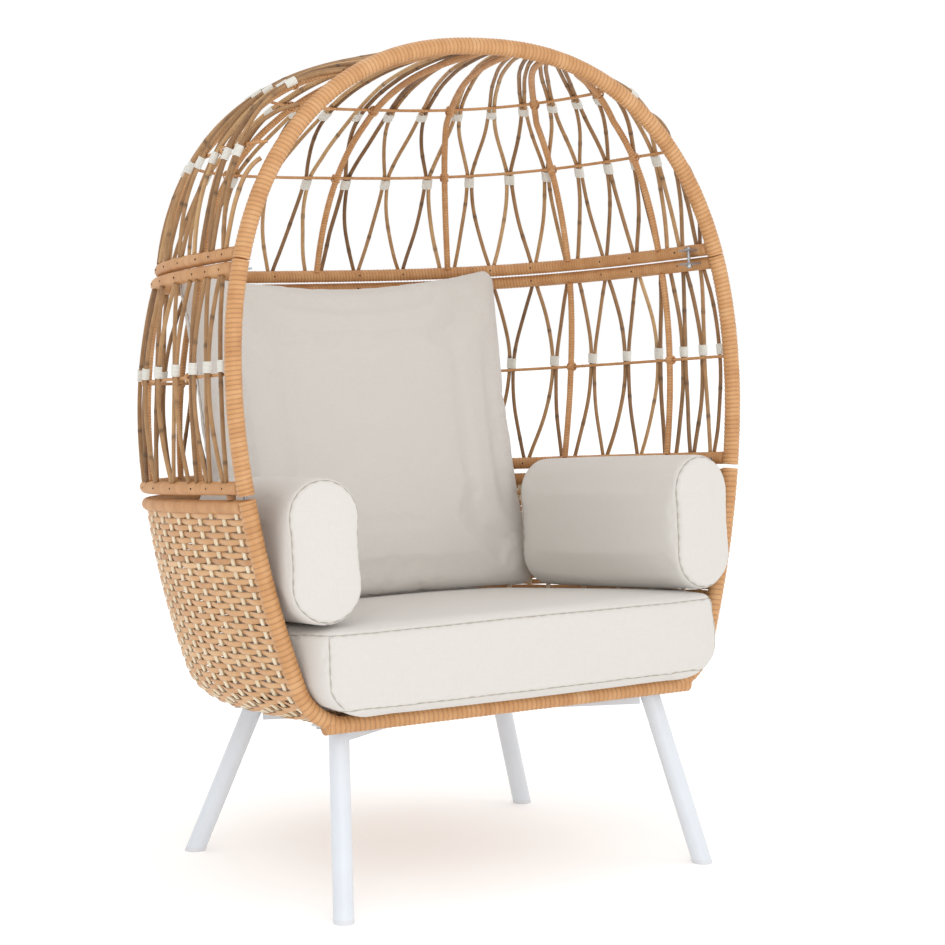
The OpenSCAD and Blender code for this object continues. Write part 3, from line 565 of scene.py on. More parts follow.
def arch_path():
    a0 = math.asin(((WAIST_Z + WAIST_GAP / 2 - WIDE_Z) / (TOP_Z - WIDE_Z)) ** (UPPER_POWER / 2))
    points = []
    for a in np.linspace(a0, math.pi - a0, 181):
        c, s = math.cos(a), math.sin(a)
        points.append([FRONT_HALF_W * math.copysign(abs(c) ** (2 / UPPER_POWER), c), 0,
                       WIDE_Z + (TOP_Z - WIDE_Z) * s ** (2 / UPPER_POWER)])
    return points


def front_u_path():
    side = [[side_half_w(z), 0, z] for z in np.linspace(RIM_Z - RIM_GAP / 2, BAR_Z + CORNER_R, 40)]
    bend = []
    for a in np.radians(np.linspace(3, 90, 24)):
        z = BAR_Z + CORNER_R * (1 - math.sin(a))
        bend.append([side_half_w(z) - CORNER_R * (1 - math.cos(a)), 0, z])
    right = side + bend
    return right + [[-p[0], 0, p[2]] for p in right[::-1]]


def rail_path(z, inset=0.0):
    reach = 1 - (FRONT_R - TUCK / 2) / (depth(z) + side_half_w(z))
    return [ring_point(reach * math.sin(a), z, inset) for a in np.linspace(-math.pi / 2, math.pi / 2, 161)]


def wrapped_piece(name, path, radius, pitch, groove, node, ref=(0, 0, 1), sides=14):
    soup = Soup()
    wrapped(soup, smoothed(path, 1), radius, pitch, groove, sides, ref)
    obj = soup.piece(name, WRAP, slot="wrapped_cane")
    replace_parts(obj, node)
    return obj


wrapped_piece("wrapped_dome_arch", arch_path(), FRONT_R, ARCH_PITCH, 1.2, "dome_arch", (0, 1, 0), 18)
wrapped_piece("wrapped_front_tube", front_u_path(), FRONT_R, ROW_PITCH / 1.15, 1.1,
              "base_front_tube", (0, 1, 0), 18)
for side, node in ((-1, "middle_post_left"), (1, "middle_post_right")):
    heights = np.linspace(RIM_Z + RIM_GAP / 2, WAIST_Z - WAIST_GAP / 2, 60)
    wrapped_piece("wrapped_" + node, [[side * side_half_w(z), 0, z] for z in heights], FRONT_R, ARCH_PITCH,
                  1.2, node, (0, 1, 0), 18)
for node, z in (("base_rim_rail", BASE_RAIL_Z), ("middle_lower_rail", LOWER_RAIL_Z),
                ("middle_upper_rail", UPPER_RAIL_Z), ("dome_rail", DOME_RAIL_Z)):
    wrapped_piece("wrapped_" + node, rail_path(z), RAIL_R, RAIL_PITCH, 1.0, node)


def rib_cell(i, h):
    return RIB_CELLS[i] + RIB_SHIFTS[i] * min(1, (1 - h) / 0.3)


def waist_y(k):
    return ring_point(cell_share(k), WAIST_Z)[1]


def dome_rib_path(i):
    h0 = dome_h(RIB_CELLS[i], DOME_RAIL_Z + RAIL_R - TUCK)
    h1 = ARCH_STOP / waist_y(rib_cell(i, 0))
    return [dome_layer(rib_cell(i, h), h, RIB_LAYER)
            for h in (h1 + (h0 - h1) * math.cos(math.pi / 2 * j / 60) for j in range(61))]


def middle_rib_path(i):
    z0, z1 = LOWER_RAIL_Z + RAIL_R - TUCK, UPPER_RAIL_Z - RAIL_R + TUCK
    return [middle_layer(RIB_CELLS[i], z, RIB_LAYER) for z in np.linspace(z0, z1, 30)]


for i in range(7):
    for section, path in (("middle", middle_rib_path(i)), ("dome", dome_rib_path(i))):
        node = "%s_rib_%d" % (section, i + 1)
        wrapped_piece("wrapped_" + node, path, RIB_R, RIB_PITCH, 0.6, node, (path[0][1], -path[0][0], 0), 12)


# ---- Wires and their crossings ---------------------------------------------------------
def wire_end(z):
    best = 9.0
    for k in np.arange(9.0, 11.9, 0.02):
        if arch_z(arch_end(k)) > z and dome_layer(k, dome_h(k, z), 0)[1] >= ARCH_STOP + WIRE_LAYER:
            best = float(k)
    return best


def dome_wire_path(z):
    k_end = wire_end(z)
    return [dome_layer(k_end * math.sin(a), dome_h(k_end * math.sin(a), z), WIRE_LAYER)
            for a in np.linspace(-math.pi / 2, math.pi / 2, 161)]


for node, path in (("middle_wire", rail_path(MIDDLE_WIRE_Z, WIRE_LAYER)),
                   ("dome_lower_wire", dome_wire_path(LOWER_WIRE_Z)),
                   ("dome_upper_wire", dome_wire_path(UPPER_WIRE_Z))):
    wrapped_piece("wrapped_" + node, path, WIRE_R, WIRE_PITCH, 0.45, node, (0, 0, 1), 10)

KNOT_LAYER = (WIRE_LAYER + RIB_LAYER) / 2
KNOT_SIZE = (9.5, 9.8)  # half length along the crossing, half depth through it
knots = Soup()
for i, k in enumerate(RIB_CELLS):
    for z in (LOWER_WIRE_Z, UPPER_WIRE_Z):
        c = rib_cell(i, dome_h(k, z))
        h = dome_h(c, z)
        along = dome_layer(c, h - 0.01, KNOT_LAYER) - dome_layer(c, h, KNOT_LAYER)
        across = dome_layer(c + 0.02, h, KNOT_LAYER) - dome_layer(c - 0.02, h, KNOT_LAYER)
        knot(knots, dome_layer(c, h, KNOT_LAYER), along, across, np.cross(along, across), *KNOT_SIZE)
    left, place, right = (middle_layer(k + d, MIDDLE_WIRE_Z, KNOT_LAYER) for d in (-0.02, 0, 0.02))
    knot(knots, place, (0, 0, 1), right - left, np.cross(right - left, (0, 0, 1)), *KNOT_SIZE)
knots.piece("crossing_knots", WRAP, slot="wrapped_cane")


# ---- Vines -----------------------------------------------------------------------------
def vine_half(wide):
    return (VINE_R + TOUCH / 2) / wide


def dome_cell_w(k, z):
    left, right = (dome_at(k + d, dome_h(k + d, z)) for d in (-0.25, 0.25))
    return 2 * np.linalg.norm(right - left)


def middle_cell_w(k, z):
    left, right = (ring_point(cell_share(k + d), z) for d in (-0.25, 0.25))
    return 2 * np.linalg.norm(right - left)


def foot_half(k, wide):
    return vine_half(wide) * ((RIB_R + 2 * VINE_R) / VINE_R if k in RIB_CELLS else 1.2)


VINE_FAN = 0.24
DOME_Z0 = DOME_RAIL_Z + RAIL_R - TUCK


def vine_cell(k, side, z):
    low = foot_half(k, dome_cell_w(k, DOME_Z0))
    mid = 0.5 - vine_half(dome_cell_w(k + side / 2, LOWER_WIRE_Z))
    top = vine_half(dome_cell_w(k, UPPER_WIRE_Z))
    q = (z - DOME_Z0) / (LOWER_WIRE_Z - DOME_Z0)
    p = (z - LOWER_WIRE_Z) / (UPPER_WIRE_Z - LOWER_WIRE_Z)
    if q <= 1:
        return k + side * (low + (mid - low) * math.sin(math.pi / 2 * q))
    gather = 0.6 * math.sin(math.pi / 2 * p) + 0.2 * (1 - math.cos(math.pi * p))
    return k + side * (mid + (top - mid) * gather)


def has_room(c, z):
    return arch_z(arch_end(c)) > z + FRONT_R and dome_at(c, dome_h(c, z))[1] > ARCH_STOP + FRONT_R


def dome_vine_path(k, side, steps=5):
    levels = list(np.linspace(DOME_Z0, LOWER_WIRE_Z, 4 * steps + 1))
    levels += list(np.linspace(LOWER_WIRE_Z, UPPER_WIRE_Z, 4 * steps + 1)[1:])
    route = [(c, z) for c, z in ((vine_cell(k, side, z), z) for z in levels) if has_room(c, z)]
    last_c, last_z = route[-1]
    h0 = dome_at(last_c, dome_h(last_c, last_z))[1] / waist_y(last_c)
    k_top = k + side * VINE_FAN if len(route) == len(levels) else last_c
    points = [dome_layer(c, dome_h(c, z), VINE_LAYER) for c, z in route]
    for i in range(1, 13):
        q = i / 12
        c = last_c + (k_top - last_c) * q
        points.append(dome_layer(c, h0 + (ARCH_STOP / waist_y(c) - h0) * q, VINE_LAYER))
    return points


def middle_vine_path(k, side):
    z0, z1 = LOWER_RAIL_Z + RAIL_R - TUCK, UPPER_RAIL_Z - RAIL_R + TUCK
    foot = foot_half(k, middle_cell_w(k, z1))
    out = 0.5 - vine_half(middle_cell_w(k + side / 2, MIDDLE_WIRE_Z)) - foot
    points = []
    for end, steps in ((z0, np.linspace(0, 1, 21)), (z1, np.linspace(1, 0, 21)[1:])):
        for q in steps:
            points.append(middle_layer(k + side * (foot + out * math.sin(math.pi / 2 * q)),
                                       end + (MIDDLE_WIRE_Z - end) * q, VINE_LAYER))
    return points


def vine(soup, points):
    """One cane: a slightly wandering stem with a few swollen, dark nodes."""
    path = resampled(smoothed(points, 1), 6.0)
    n = len(path)
    at = np.arange(n) * 6.0
    radius = np.full(n, VINE_R * rng.uniform(0.92, 1.03))
    mark = np.zeros(n)
    place = rng.uniform(30, 150)
    while place < at[-1] - 10:
        bump = np.exp(-((at - place) / 5.0) ** 2)
        radius += 0.45 * bump
        mark = np.maximum(mark, 0.75 * np.exp(-((at - place - 2.0) / 3.2) ** 2))
        place += rng.uniform(110, 210)
    phase = rng.uniform(0, 6.28)
    drift = 0.5 * np.sin(at / 47.0 + phase) + 0.3 * np.sin(at / 19.0 + 2 * phase)
    fade = np.clip(np.minimum(at, at[-1] - at) / 25.0, 0, 1)
    path = path + (drift * fade)[:, None] * unit(np.array([path[0][1], -path[0][0], 0]))
    tone = min(max(rng.gauss(0.5, 0.24), 0.05), 0.95) + 0.08 * np.sin(at / 60.0 + phase)
    tube(soup, path, radius, 10, tone, mark, (path[0][1], -path[0][0], 0))


for name, node, maker in (("bark_dome_vines", "dome_vines", dome_vine_path),
                          ("bark_middle_vines", "middle_vines", middle_vine_path)):
    soup = Soup()
    for k in range(1 - LAST_CELL, LAST_CELL):
        for side in (-1, 1):
            vine(soup, maker(k, side))
    obj = soup.piece(name, VINE, slot="vines")
    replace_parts(obj, node)


# ---- Wound ties ------------------------------------------------------------------------
TIE_TURNS, TIE_HALF_T, TIE_SQUARE = 9, 6.3, 2.8
TIE_DROP = WIRE_R + 1 + TIE_H / 2


def tie(soup, middle, up, out):
    """A strand wound round two canes: a ridged sleeve, flat-sided as the two canes make it."""
    up, out = unit(up), np.asarray(out, float)
    out = unit(out - np.dot(out, up) * up)
    across = np.cross(up, out)
    sides, per = 22, 6
    rows = TIE_TURNS * per + 1
    height = TIE_H * rng.uniform(0.94, 1.06)
    width = TIE_W / 2 * rng.uniform(0.96, 1.02)
    a = 2 * np.pi * np.arange(sides) / sides
    cx, cy = (round_power(q, 2 / TIE_SQUARE) for q in (np.cos(a), np.sin(a)))
    i = np.arange(rows)
    slant = np.arange(sides) / sides * per
    ridge = 0.5 - 0.5 * np.cos(2 * np.pi * (i[:, None] + slant[None]) / per)
    grow = ridge * 0.55 - 0.4
    end = np.minimum(i, rows - 1 - i)
    grow = grow - 0.8 * (end[:, None] < 1)
    z = (i / (rows - 1) - 0.5) * height
    x = (width + grow) * cx[None]
    y = (TIE_HALF_T + grow) * cy[None]
    verts = (np.asarray(middle) + x[..., None] * across + y[..., None] * out + z[:, None, None] * up)
    verts = np.concatenate([verts.reshape(-1, 3), [middle - up * height / 2, middle + up * height / 2]])
    # ridge goes in as mark, which the tie material turns into painted shade in the grooves
    mark = np.concatenate([ridge.ravel(), [0.3, 0.3]])
    soup.add(verts, grid_quads(rows, sides), 0.5, mark, end_fans(rows, sides))


def dome_ties(name, node, cells, z):
    soup = Soup()
    for k in cells:
        h = dome_h(k, z)
        up, middle, low = (dome_layer(k, h + d, VINE_LAYER) for d in (-0.01, 0, 0.01))
        tie(soup, middle, up - low, dome_layer(k, h, -1) - dome_layer(k, h, 0))
    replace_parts(soup.piece(name, TIE, slot="white_ties"), node)


dome_ties("wound_lower_ties", "dome_lower_ties", np.arange(1.5 - LAST_CELL, LAST_CELL - 1),
          LOWER_WIRE_Z - TIE_DROP)
dome_ties("wound_upper_ties", "dome_upper_ties", np.arange(2 - LAST_CELL, LAST_CELL - 1),
          UPPER_WIRE_Z - TIE_DROP)
soup = Soup()
for k in np.arange(0.5 - LAST_CELL, LAST_CELL):
    z = MIDDLE_WIRE_Z + TIE_DROP
    low, middle, up = (middle_layer(k, z + d, VINE_LAYER) for d in (-4, 0, 4))
    tie(soup, middle, up - low, middle_layer(k, z, -1) - middle_layer(k, z, 0))
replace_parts(soup.piece("wound_middle_ties", TIE, slot="white_ties"), "middle_ties")

# ---- Woven basket ----------------------------------------------------------------------
WALL_TOP = BASE_RAIL_Z - RAIL_R + TUCK
WALL_LOW = BAR_Z + CORNER_R
EDGE_Y = FRONT_R - 4
STAKE_R, SWING = 2.7, 3.4
STRAND_W, STRAND_T, RIBBON_SIDES = ROW_PITCH * 0.47, 1.15, 10
PER_STAKE = 6  # points of a strand from one stake pair to the next
FLOOR_STAKE_GAP = 49.0


def wall_at(f, s, out):
    """The basket's wall at share f of the half ring, s below its top edge along the wall."""
    straight = WALL_TOP - WALL_LOW
    if s <= straight:
        z, inset = WALL_TOP - s, -out
    else:
        a = min((s - straight) / CORNER_R, math.pi / 2)
        z, inset = WALL_LOW - (CORNER_R + out) * math.sin(a), CORNER_R - (CORNER_R + out) * math.cos(a)
    p = unit_ring(ring_angle(f))
    return np.array([(side_half_w(z) - inset) * p[0], max((depth(z) - inset) * p[1], EDGE_Y), z])


def ribbon(soup, centre, wide, normal, half_w, half_t, tone):
    """A flat strand with rounded edges. wide and normal are given at each point."""
    centre, wide, normal = (np.asarray(q, float) for q in (centre, wide, normal))
    n = len(centre)
    a = 2 * np.pi * (np.arange(RIBBON_SIDES) + 0.5) / RIBBON_SIDES
    cx, cy = round_power(np.cos(a), 0.62), round_power(np.sin(a), 0.8)
    across = half_w * cx[None, :, None] * unit(wide)[:, None]
    verts = centre[:, None] + across + half_t * cy[None, :, None] * unit(normal)[:, None]
    verts = np.concatenate([verts.reshape(-1, 3), centre[:1], centre[-1:]])
    # crown goes in as mark: the material paints the strand's edges darker as painted shade between rows
    crown = np.concatenate([np.tile(1 - np.abs(cx) ** 3 * 0.75, n), [0.5, 0.5]])
    soup.add(verts, grid_quads(n, RIBBON_SIDES), tone, crown, end_fans(n, RIBBON_SIDES))


straight_len = WALL_TOP - WALL_LOW
wall_len = straight_len + CORNER_R * math.pi / 2
rows = int(wall_len / ROW_PITCH)
weave = Soup()
half = (STAKES + 1) // 2
columns = np.arange(-half * PER_STAKE, half * PER_STAKE + 1) / PER_STAKE
for row in range(rows):
    s = (row + 0.5) * wall_len / rows
    tone = min(max(rng.gauss(0.5, 0.17), 0), 1)
    sign = 1 if row % 2 else -1
    centre, wide, normal = [], [], []
    for c in columns:
        f = c / half
        swing = SWING * sign * math.cos(math.pi * c) * min(1, (half - abs(c)) / 0.7)
        p0, p1 = wall_at(f, s - 1, 0), wall_at(f, s + 1, 0)
        q0, q1 = wall_at(f - 0.004, s, 0), wall_at(f + 0.004, s, 0)
        down = unit(p1 - p0)
        out = unit(np.cross(down, q1 - q0))
        middle = wall_at(f, s, 0)
        if np.dot(out, [middle[0], middle[1] - 250, 0 if s < straight_len else -200]) < 0:
            out = -out
        centre.append(middle + swing * out)
        wide.append(down)
        normal.append(out)
    tones = tone + 0.05 * np.sin(np.arange(len(columns)) / 17.0 + row)
    section_tone = np.concatenate([np.repeat(tones, RIBBON_SIDES), [tone, tone]])
    ribbon(weave, centre, wide, normal, STRAND_W, STRAND_T, section_tone)

# The floor: strands from side to side over stakes that run from front to back
floor_z = BAR_Z
back_y = wall_at(0, wall_len, 0)[1]
floor_rows = int((back_y - EDGE_Y) / ROW_PITCH)


def side_width(y):
    """Half width of the basket's floor."""
    share = max(0.0, 1 - (y / back_y) ** RING_POWER) ** (1 / RING_POWER)
    return share * (side_half_w(floor_z) - CORNER_R)


for row in range(floor_rows):
    y = EDGE_Y + (row + 0.5) * (back_y - EDGE_Y) / floor_rows
    reach = side_width(y)
    if reach < 20:
        continue
    xs = np.linspace(-reach, reach, max(int(reach / 4), 6))
    sign = 1 if row % 2 else -1
    centre = [[x, y, floor_z + SWING * sign * math.cos(math.pi * x / FLOOR_STAKE_GAP)] for x in xs]
    ribbon(weave, centre, [[0, 1, 0]] * len(xs), [[0, 0, -1]] * len(xs), STRAND_W, STRAND_T,
           min(max(rng.gauss(0.5, 0.17), 0), 1))
basket = weave.piece("woven_basket", WEAVE, slot="basket_weave")
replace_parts(basket, "basket_skin")

stakes = Soup()
for c in range(-(half - 1), half):
    for twin in (-1, 1):
        f = c / half + twin * (STAKE_R + 0.1) / 1130
        path = [wall_at(f, s, 0) for s in np.linspace(-TUCK, wall_len, 60)]
        across = wall_at(f + 0.01, 60, 0) - wall_at(f - 0.01, 60, 0)
        tube(stakes, path, STAKE_R, 8, rng.uniform(0.25, 0.85), 0.9, across)
for x in FLOOR_STAKE_GAP * np.arange(-8, 9):
    reach = 0.0
    for y in np.arange(EDGE_Y, back_y, 4.0):
        if side_width(y) > abs(x) + 6:
            reach = y
    for twin in (-1, 1):
        if reach > EDGE_Y + 40:
            tube(stakes, [[x + twin * (STAKE_R + 0.1), y, floor_z] for y in np.linspace(EDGE_Y, reach, 30)],
                 STAKE_R, 8, rng.uniform(0.25, 0.85), 0.9, (1, 0, 0))
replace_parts(stakes.piece("cream_stakes", STAKE, slot="basket_stakes"), "basket_stakes")

# ---- Cushions --------------------------------------------------------------------------
SEAT_Z = BAR_Z + FRONT_R + 1
SEAT_TOP = SEAT_Z + 160


def stacked(outlines):
    """A closed mesh from outlines of the same number of points, capped at both ends."""
    rows = [np.asarray(o, float) for o in outlines]
    cols = len(rows[0])
    verts = np.concatenate(rows + [rows[0].mean(0)[None], rows[-1].mean(0)[None]])
    quads = grid_quads(len(rows), cols).tolist()
    return verts, quads + end_fans(len(rows), cols)


def rounded_outline(half_front, half_back, length, r_front, r_back, inset, count=144):
    """A rounded trapezoid seen from above, front edge at y = 0, moved in by inset."""
    corners = [(half_front, 0, r_front, -90), (half_back, length, r_back, 0),
               (-half_back, length, r_back, 90), (-half_front, 0, r_front, 180)]
    points = []
    for x, y, r, start in corners:
        cx, cy = x - math.copysign(r, x), y + (r if y == 0 else -r)
        for a in np.radians(np.linspace(start, start + 90, 12)):
            points.append([cx + (r - inset) * math.cos(a), cy + (r - inset) * math.sin(a)])
    return evenly(points, count)


def pad_mesh(name, verts, faces):
    mesh = bpy.data.meshes.new(name)
    mesh.from_pydata(leaned(verts).tolist(), [], faces)
    mesh.validate()
    obj = bpy.data.objects.new(name, mesh)
    bpy.context.scene.collection.objects.link(obj)
    return obj


def applied(obj):
    """Replaces the object's mesh with what its modifiers make of it."""
    graph = bpy.context.evaluated_depsgraph_get()
    mesh = bpy.data.meshes.new_from_object(obj.evaluated_get(graph))
    obj.modifiers.clear()
    obj.data = mesh
    return obj


def coords(mesh):
    data = np.empty(3 * len(mesh.vertices))
    mesh.vertices.foreach_get("co", data)
    return data.reshape(-1, 3)


def swell(obj, voxel, pressure, cap, frames=9):
    """Remeshes the shape evenly, blows it up as cloth and keeps each point within cap metres."""
    remesh = obj.modifiers.new("remesh", "REMESH")
    remesh.mode = "VOXEL"
    remesh.voxel_size = voxel
    applied(obj)
    smooth = obj.modifiers.new("smooth", "SMOOTH")
    smooth.iterations = 6
    applied(obj)
    before = coords(obj.data)
    cloth = obj.modifiers.new("cloth", "CLOTH")
    settings = cloth.settings
    settings.quality = 5
    settings.mass = 0.3
    settings.tension_stiffness = 18
    settings.compression_stiffness = 18
    settings.shear_stiffness = 9
    settings.bending_stiffness = 0.6
    settings.use_pressure = True
    settings.uniform_pressure_force = pressure
    settings.effector_weights.gravity = 0
    settings.shrink_min = -0.02
    cloth.point_cache.frame_start, cloth.point_cache.frame_end = 1, frames
    scene = bpy.context.scene
    for number in range(1, frames + 1):
        scene.frame_set(number)
    applied(obj)
    scene.frame_set(1)
    after = coords(obj.data)
    if len(after) == len(before):
        move = after - before
        far = np.linalg.norm(move, axis=1, keepdims=True)
        after = before + move * np.minimum(1, cap / np.maximum(far, 1e-9))
        obj.data.vertices.foreach_set("co", after.ravel())
        obj.data.update()
    fine = obj.modifiers.new("fine", "SUBSURF")
    fine.levels = fine.render_levels = 1
    applied(obj)
    return obj


def creased(obj, seams, depth_mm=1.6, width_mm=3.0, pucker=0.5):
    """Sinks the surface along each seam, with small puckers, and lays a stitched cord in it."""
    from mathutils.bvhtree import BVHTree
    from mathutils.kdtree import KDTree
    points = coords(obj.data)
    normals = np.empty(3 * len(points))
    obj.data.vertices.foreach_get("normal", normals)
    normals = normals.reshape(-1, 3)
    tree = BVHTree.FromPolygons([Vector(p) for p in points], [tuple(p.vertices) for p in obj.data.polygons])
    laid = []
    for seam in seams:
        line = leaned(resampled(seam, 3.0))
        hits = [tree.find_nearest(Vector(p)) for p in line]
        laid.append((np.array([list(h[0]) for h in hits]), np.array([list(h[1]) for h in hits])))
    kd = KDTree(sum(len(p) for p, _ in laid))
    index = 0
    for p, _ in laid:
        for q in p:
            kd.insert(Vector(q), index)
            index += 1
    kd.balance()
    shift = np.zeros(len(points))
    for i, p in enumerate(points):
        _, which, far = kd.find(Vector(p))
        if far < 0.03:
            near = far * 1000
            ripple = 1 + pucker * math.sin(which * 0.9) * math.exp(-(near / 9) ** 2)
            shift[i] = -depth_mm / 1000 * math.exp(-((near / width_mm) ** 2)) * ripple
            shift[i] += 0.0004 * pucker * math.sin(which * 0.9 + 0.8) * math.exp(-((near - 7) / 6) ** 2)
    points = points + normals * shift[:, None]
    obj.data.vertices.foreach_set("co", points.ravel())
    obj.data.update()
    cords = Soup()
    for p, n in laid:
        path = p - n * (depth_mm * 0.55 / 1000)
        closed = np.linalg.norm(path[0] - path[-1]) < 0.004
        if closed:
            ring(cords, path[:-1] * 1000, 0.75, 6, n[:-1], 0.5)
        else:
            tube(cords, path * 1000, 0.75, 6, 0.5, 1.0, n)
    return cords


def cushion(name, node, body, verts, faces, pressure, cap, fill, seams, voxel=0.0055):
    obj = pad_mesh(name, verts, faces)
    swell(obj, voxel, pressure, cap)
    cords = creased(obj, seams)
    obj.data.materials.clear()
    obj.data.materials.append(FABRIC)
    obj.data.shade_smooth()
    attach(obj, body)
    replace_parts(obj, node)
    thread = cords.piece(name + "_seams", SEAM, body, "cushion_fabric", lean=False)
    return obj, thread


# Seat cushion: a boxed pad with a crowned top, its lower edges drawn in by the basket
SEAT_L, SEAT_W, SEAT_FRONT_W, SEAT_BACK_W, SEAT_T = 710, 880, 824, 560, 160
SEAT_FRONT, SEAT_SIDE_GAP = -70, 7
SEAT_CORNER_R, SEAT_BULGE_R, SEAT_BULGE_IN, SEAT_BACK_R = 25, 60, 130, 120


def seat_side(z):
    """Half width at the height z over the cushion's underside, between the front tube's sides."""
    bend = (CORNER_R - FRONT_R) ** 2 - max(0, BAR_Z + CORNER_R - SEAT_Z - z) ** 2
    return min(SEAT_W / 2, side_half_w(SEAT_Z + z) - CORNER_R + math.sqrt(max(0, bend)) - SEAT_SIDE_GAP)


def round_hull(circles, count=168):
    """The outline of a symmetrical set of circles [x, y, r], evenly spaced from its front middle."""
    points = []
    for x, y, r in circles:
        for a in np.radians(np.arange(0, 360, 4)):
            dx, dy = r * math.cos(a), r * math.sin(a)
            points += [(x + dx, y + dy), (-x - dx, y + dy)]
    points = sorted(set(points))

    def chain(row):
        kept = []
        for p in row:
            while len(kept) > 1 and ((kept[-1][0] - kept[-2][0]) * (p[1] - kept[-2][1])
                                     <= (kept[-1][1] - kept[-2][1]) * (p[0] - kept[-2][0])):
                kept.pop()
            kept.append(p)
        return kept[:-1]

    line = np.array(chain(points) + chain(points[::-1]))
    front = line[:, 1].min()
    start = next(i for i in range(len(line)) if line[i][0] < 0 <= line[(i + 1) % len(line)][0]
                 and line[i][1] < front + 5)
    line = np.roll(line, -start - 1, axis=0)
    return evenly(np.concatenate([[[0, front]], line]), count)


def seat_outline(z, inset):
    side = seat_side(z)
    o = round_hull([(min(SEAT_FRONT_W / 2, side) - SEAT_CORNER_R, SEAT_CORNER_R, SEAT_CORNER_R - inset),
                    (side - SEAT_BULGE_R, SEAT_BULGE_IN, SEAT_BULGE_R - inset),
                    (SEAT_BACK_W / 2 - SEAT_BACK_R, SEAT_L - SEAT_BACK_R, SEAT_BACK_R - inset)])
    return np.stack([o[:, 0], o[:, 1] + SEAT_FRONT, np.full(len(o), SEAT_Z + z)], 1)


def seat_shape():
    levels = []
    for share in (0.15, 0.4, 0.65, 0.85):
        o = seat_outline(1, 14)
        centre = np.array([0, SEAT_L / 2 + SEAT_FRONT, SEAT_Z + 1])
        levels.append(centre + (o - centre) * share)
    for a in np.radians(np.linspace(0, 90, 7)):
        levels.append(seat_outline(1 + 18 * (1 - math.cos(a)), 1 + 14 * (1 - math.sin(a))))
    for z in (35, 55, 75, 95, 115):
        bulge = 4 * math.sin(math.pi * (z - 15) / 120)
        levels.append(seat_outline(z, 1 - bulge))
    for a in np.radians(np.linspace(0, 90, 7)):
        levels.append(seat_outline(SEAT_T - 21 + 15 * math.sin(a), 1 + 16 * (1 - math.cos(a))))
    for share in (0.92, 0.8, 0.6, 0.35, 0.12):
        o = seat_outline(SEAT_T - 6, 17)
        centre = np.array([0, SEAT_L / 2 + SEAT_FRONT, SEAT_Z + SEAT_T - 6])
        crown = 7 * (1 - share**2.2)
        levels.append(centre + (o - centre) * share + [0, 0, crown])
    return stacked(levels)


def closed_line(points):
    points = np.asarray(points, float)
    return np.concatenate([points, points[:1]])


seat_seams = [closed_line(seat_outline(SEAT_T - 18, 5)), closed_line(seat_outline(17, 6))]
for x in (-1, 1):
    seat_seams.append([[x * (min(SEAT_FRONT_W / 2, seat_side(z)) - 8), SEAT_FRONT + 8, SEAT_Z + z]
                       for z in np.linspace(18, SEAT_T - 19, 20)])
cushion("linen_seat_cushion", "seat_cushion", "seat", *seat_shape(),
        pressure=3.0, cap=0.004, fill=0.8, seams=seat_seams, voxel=0.0065)

# Bolsters: long rolls of stadium section with flat sewn ends
BOLSTER_X, BOLSTER_TURN, BOLSTER_FRONT, BOLSTER_L, BOLSTER_H, BOLSTER_T = 400, 6, -66, 470, 250, 134


def bolster_outline(inset, count=96):
    r = BOLSTER_T / 2
    lift = BOLSTER_H - BOLSTER_T
    points = [[(r - inset) * math.cos(a), up + (r - inset) * math.sin(a)]
              for start, up in ((180, 0), (0, lift))
              for a in np.radians(np.linspace(start, start + 180, 30))]
    return evenly(points, count)


def bolster_place(side, flat, along):
    t = math.radians(BOLSTER_TURN) * side
    flat = np.asarray(flat, float)
    x, y = flat[:, 0], np.full(len(flat), along)
    return np.stack([side * BOLSTER_X + x * math.cos(t) - y * math.sin(t),
                     BOLSTER_FRONT + x * math.sin(t) + y * math.cos(t),
                     SEAT_TOP + 1 + BOLSTER_T / 2 + flat[:, 1]], 1)


def bolster_shape(side):
    levels = []
    lift = (BOLSTER_H - BOLSTER_T) / 2
    def disc(share, along, inset):
        o = bolster_outline(inset)
        o = [0, lift] + (o - [0, lift]) * share
        return bolster_place(side, o, along)
    for share, along in ((0.15, 1), (0.45, 1.5), (0.75, 3), (0.92, 5)):
        levels.append(disc(share, along, 12))
    for a in np.radians(np.linspace(10, 90, 6)):
        levels.append(disc(1, 6 + 14 * (1 - math.cos(a)), 1 + 12 * (1 - math.sin(a))))
    for along in np.linspace(40, BOLSTER_L - 40, 9):
        levels.append(disc(1, along, 1 - math.sin(math.pi * along / BOLSTER_L)))
    for a in np.radians(np.linspace(90, 10, 6)):
        levels.append(disc(1, BOLSTER_L - 6 - 14 * (1 - math.cos(a)), 1 + 12 * (1 - math.sin(a))))
    for share, along in ((0.92, 5), (0.75, 3), (0.45, 1.5), (0.15, 1)):
        levels.append(disc(share, BOLSTER_L - along, 12))
    return stacked(levels)


for side, name, body in ((-1, "left", "bolster_l"), (1, "right", "bolster_r")):
    seams = [closed_line(bolster_place(side, bolster_outline(5), along)) for along in (11, BOLSTER_L - 11)]
    seams.append([bolster_place(side, [[0, -BOLSTER_T / 2 + 2]], along)[0]
                  for along in np.linspace(14, BOLSTER_L - 14, 40)])
    cushion("linen_bolster_" + name, "bolster_" + name, body, *bolster_shape(side),
            pressure=2.0, cap=0.0025, fill=0.85, seams=seams, voxel=0.0055)

# Back cushion: a soft knife-edged pillow, thick in its middle
BACK_W, BACK_H, BACK_T, BACK_LEAN, BACK_FOOT = 700, 645, 110, 9, 398
BACK_ROLL_R, BACK_HOLLOW, BACK_TOP_HOLLOW, BACK_FOOT_SAG = 13, 0.02, 0.085, -0.006
BACK_FOOT_Z = (SEAT_TOP + 1 + BACK_ROLL_R + BACK_T / 2 * math.sin(math.radians(BACK_LEAN))
               - BACK_ROLL_R * math.cos(math.radians(BACK_LEAN)))


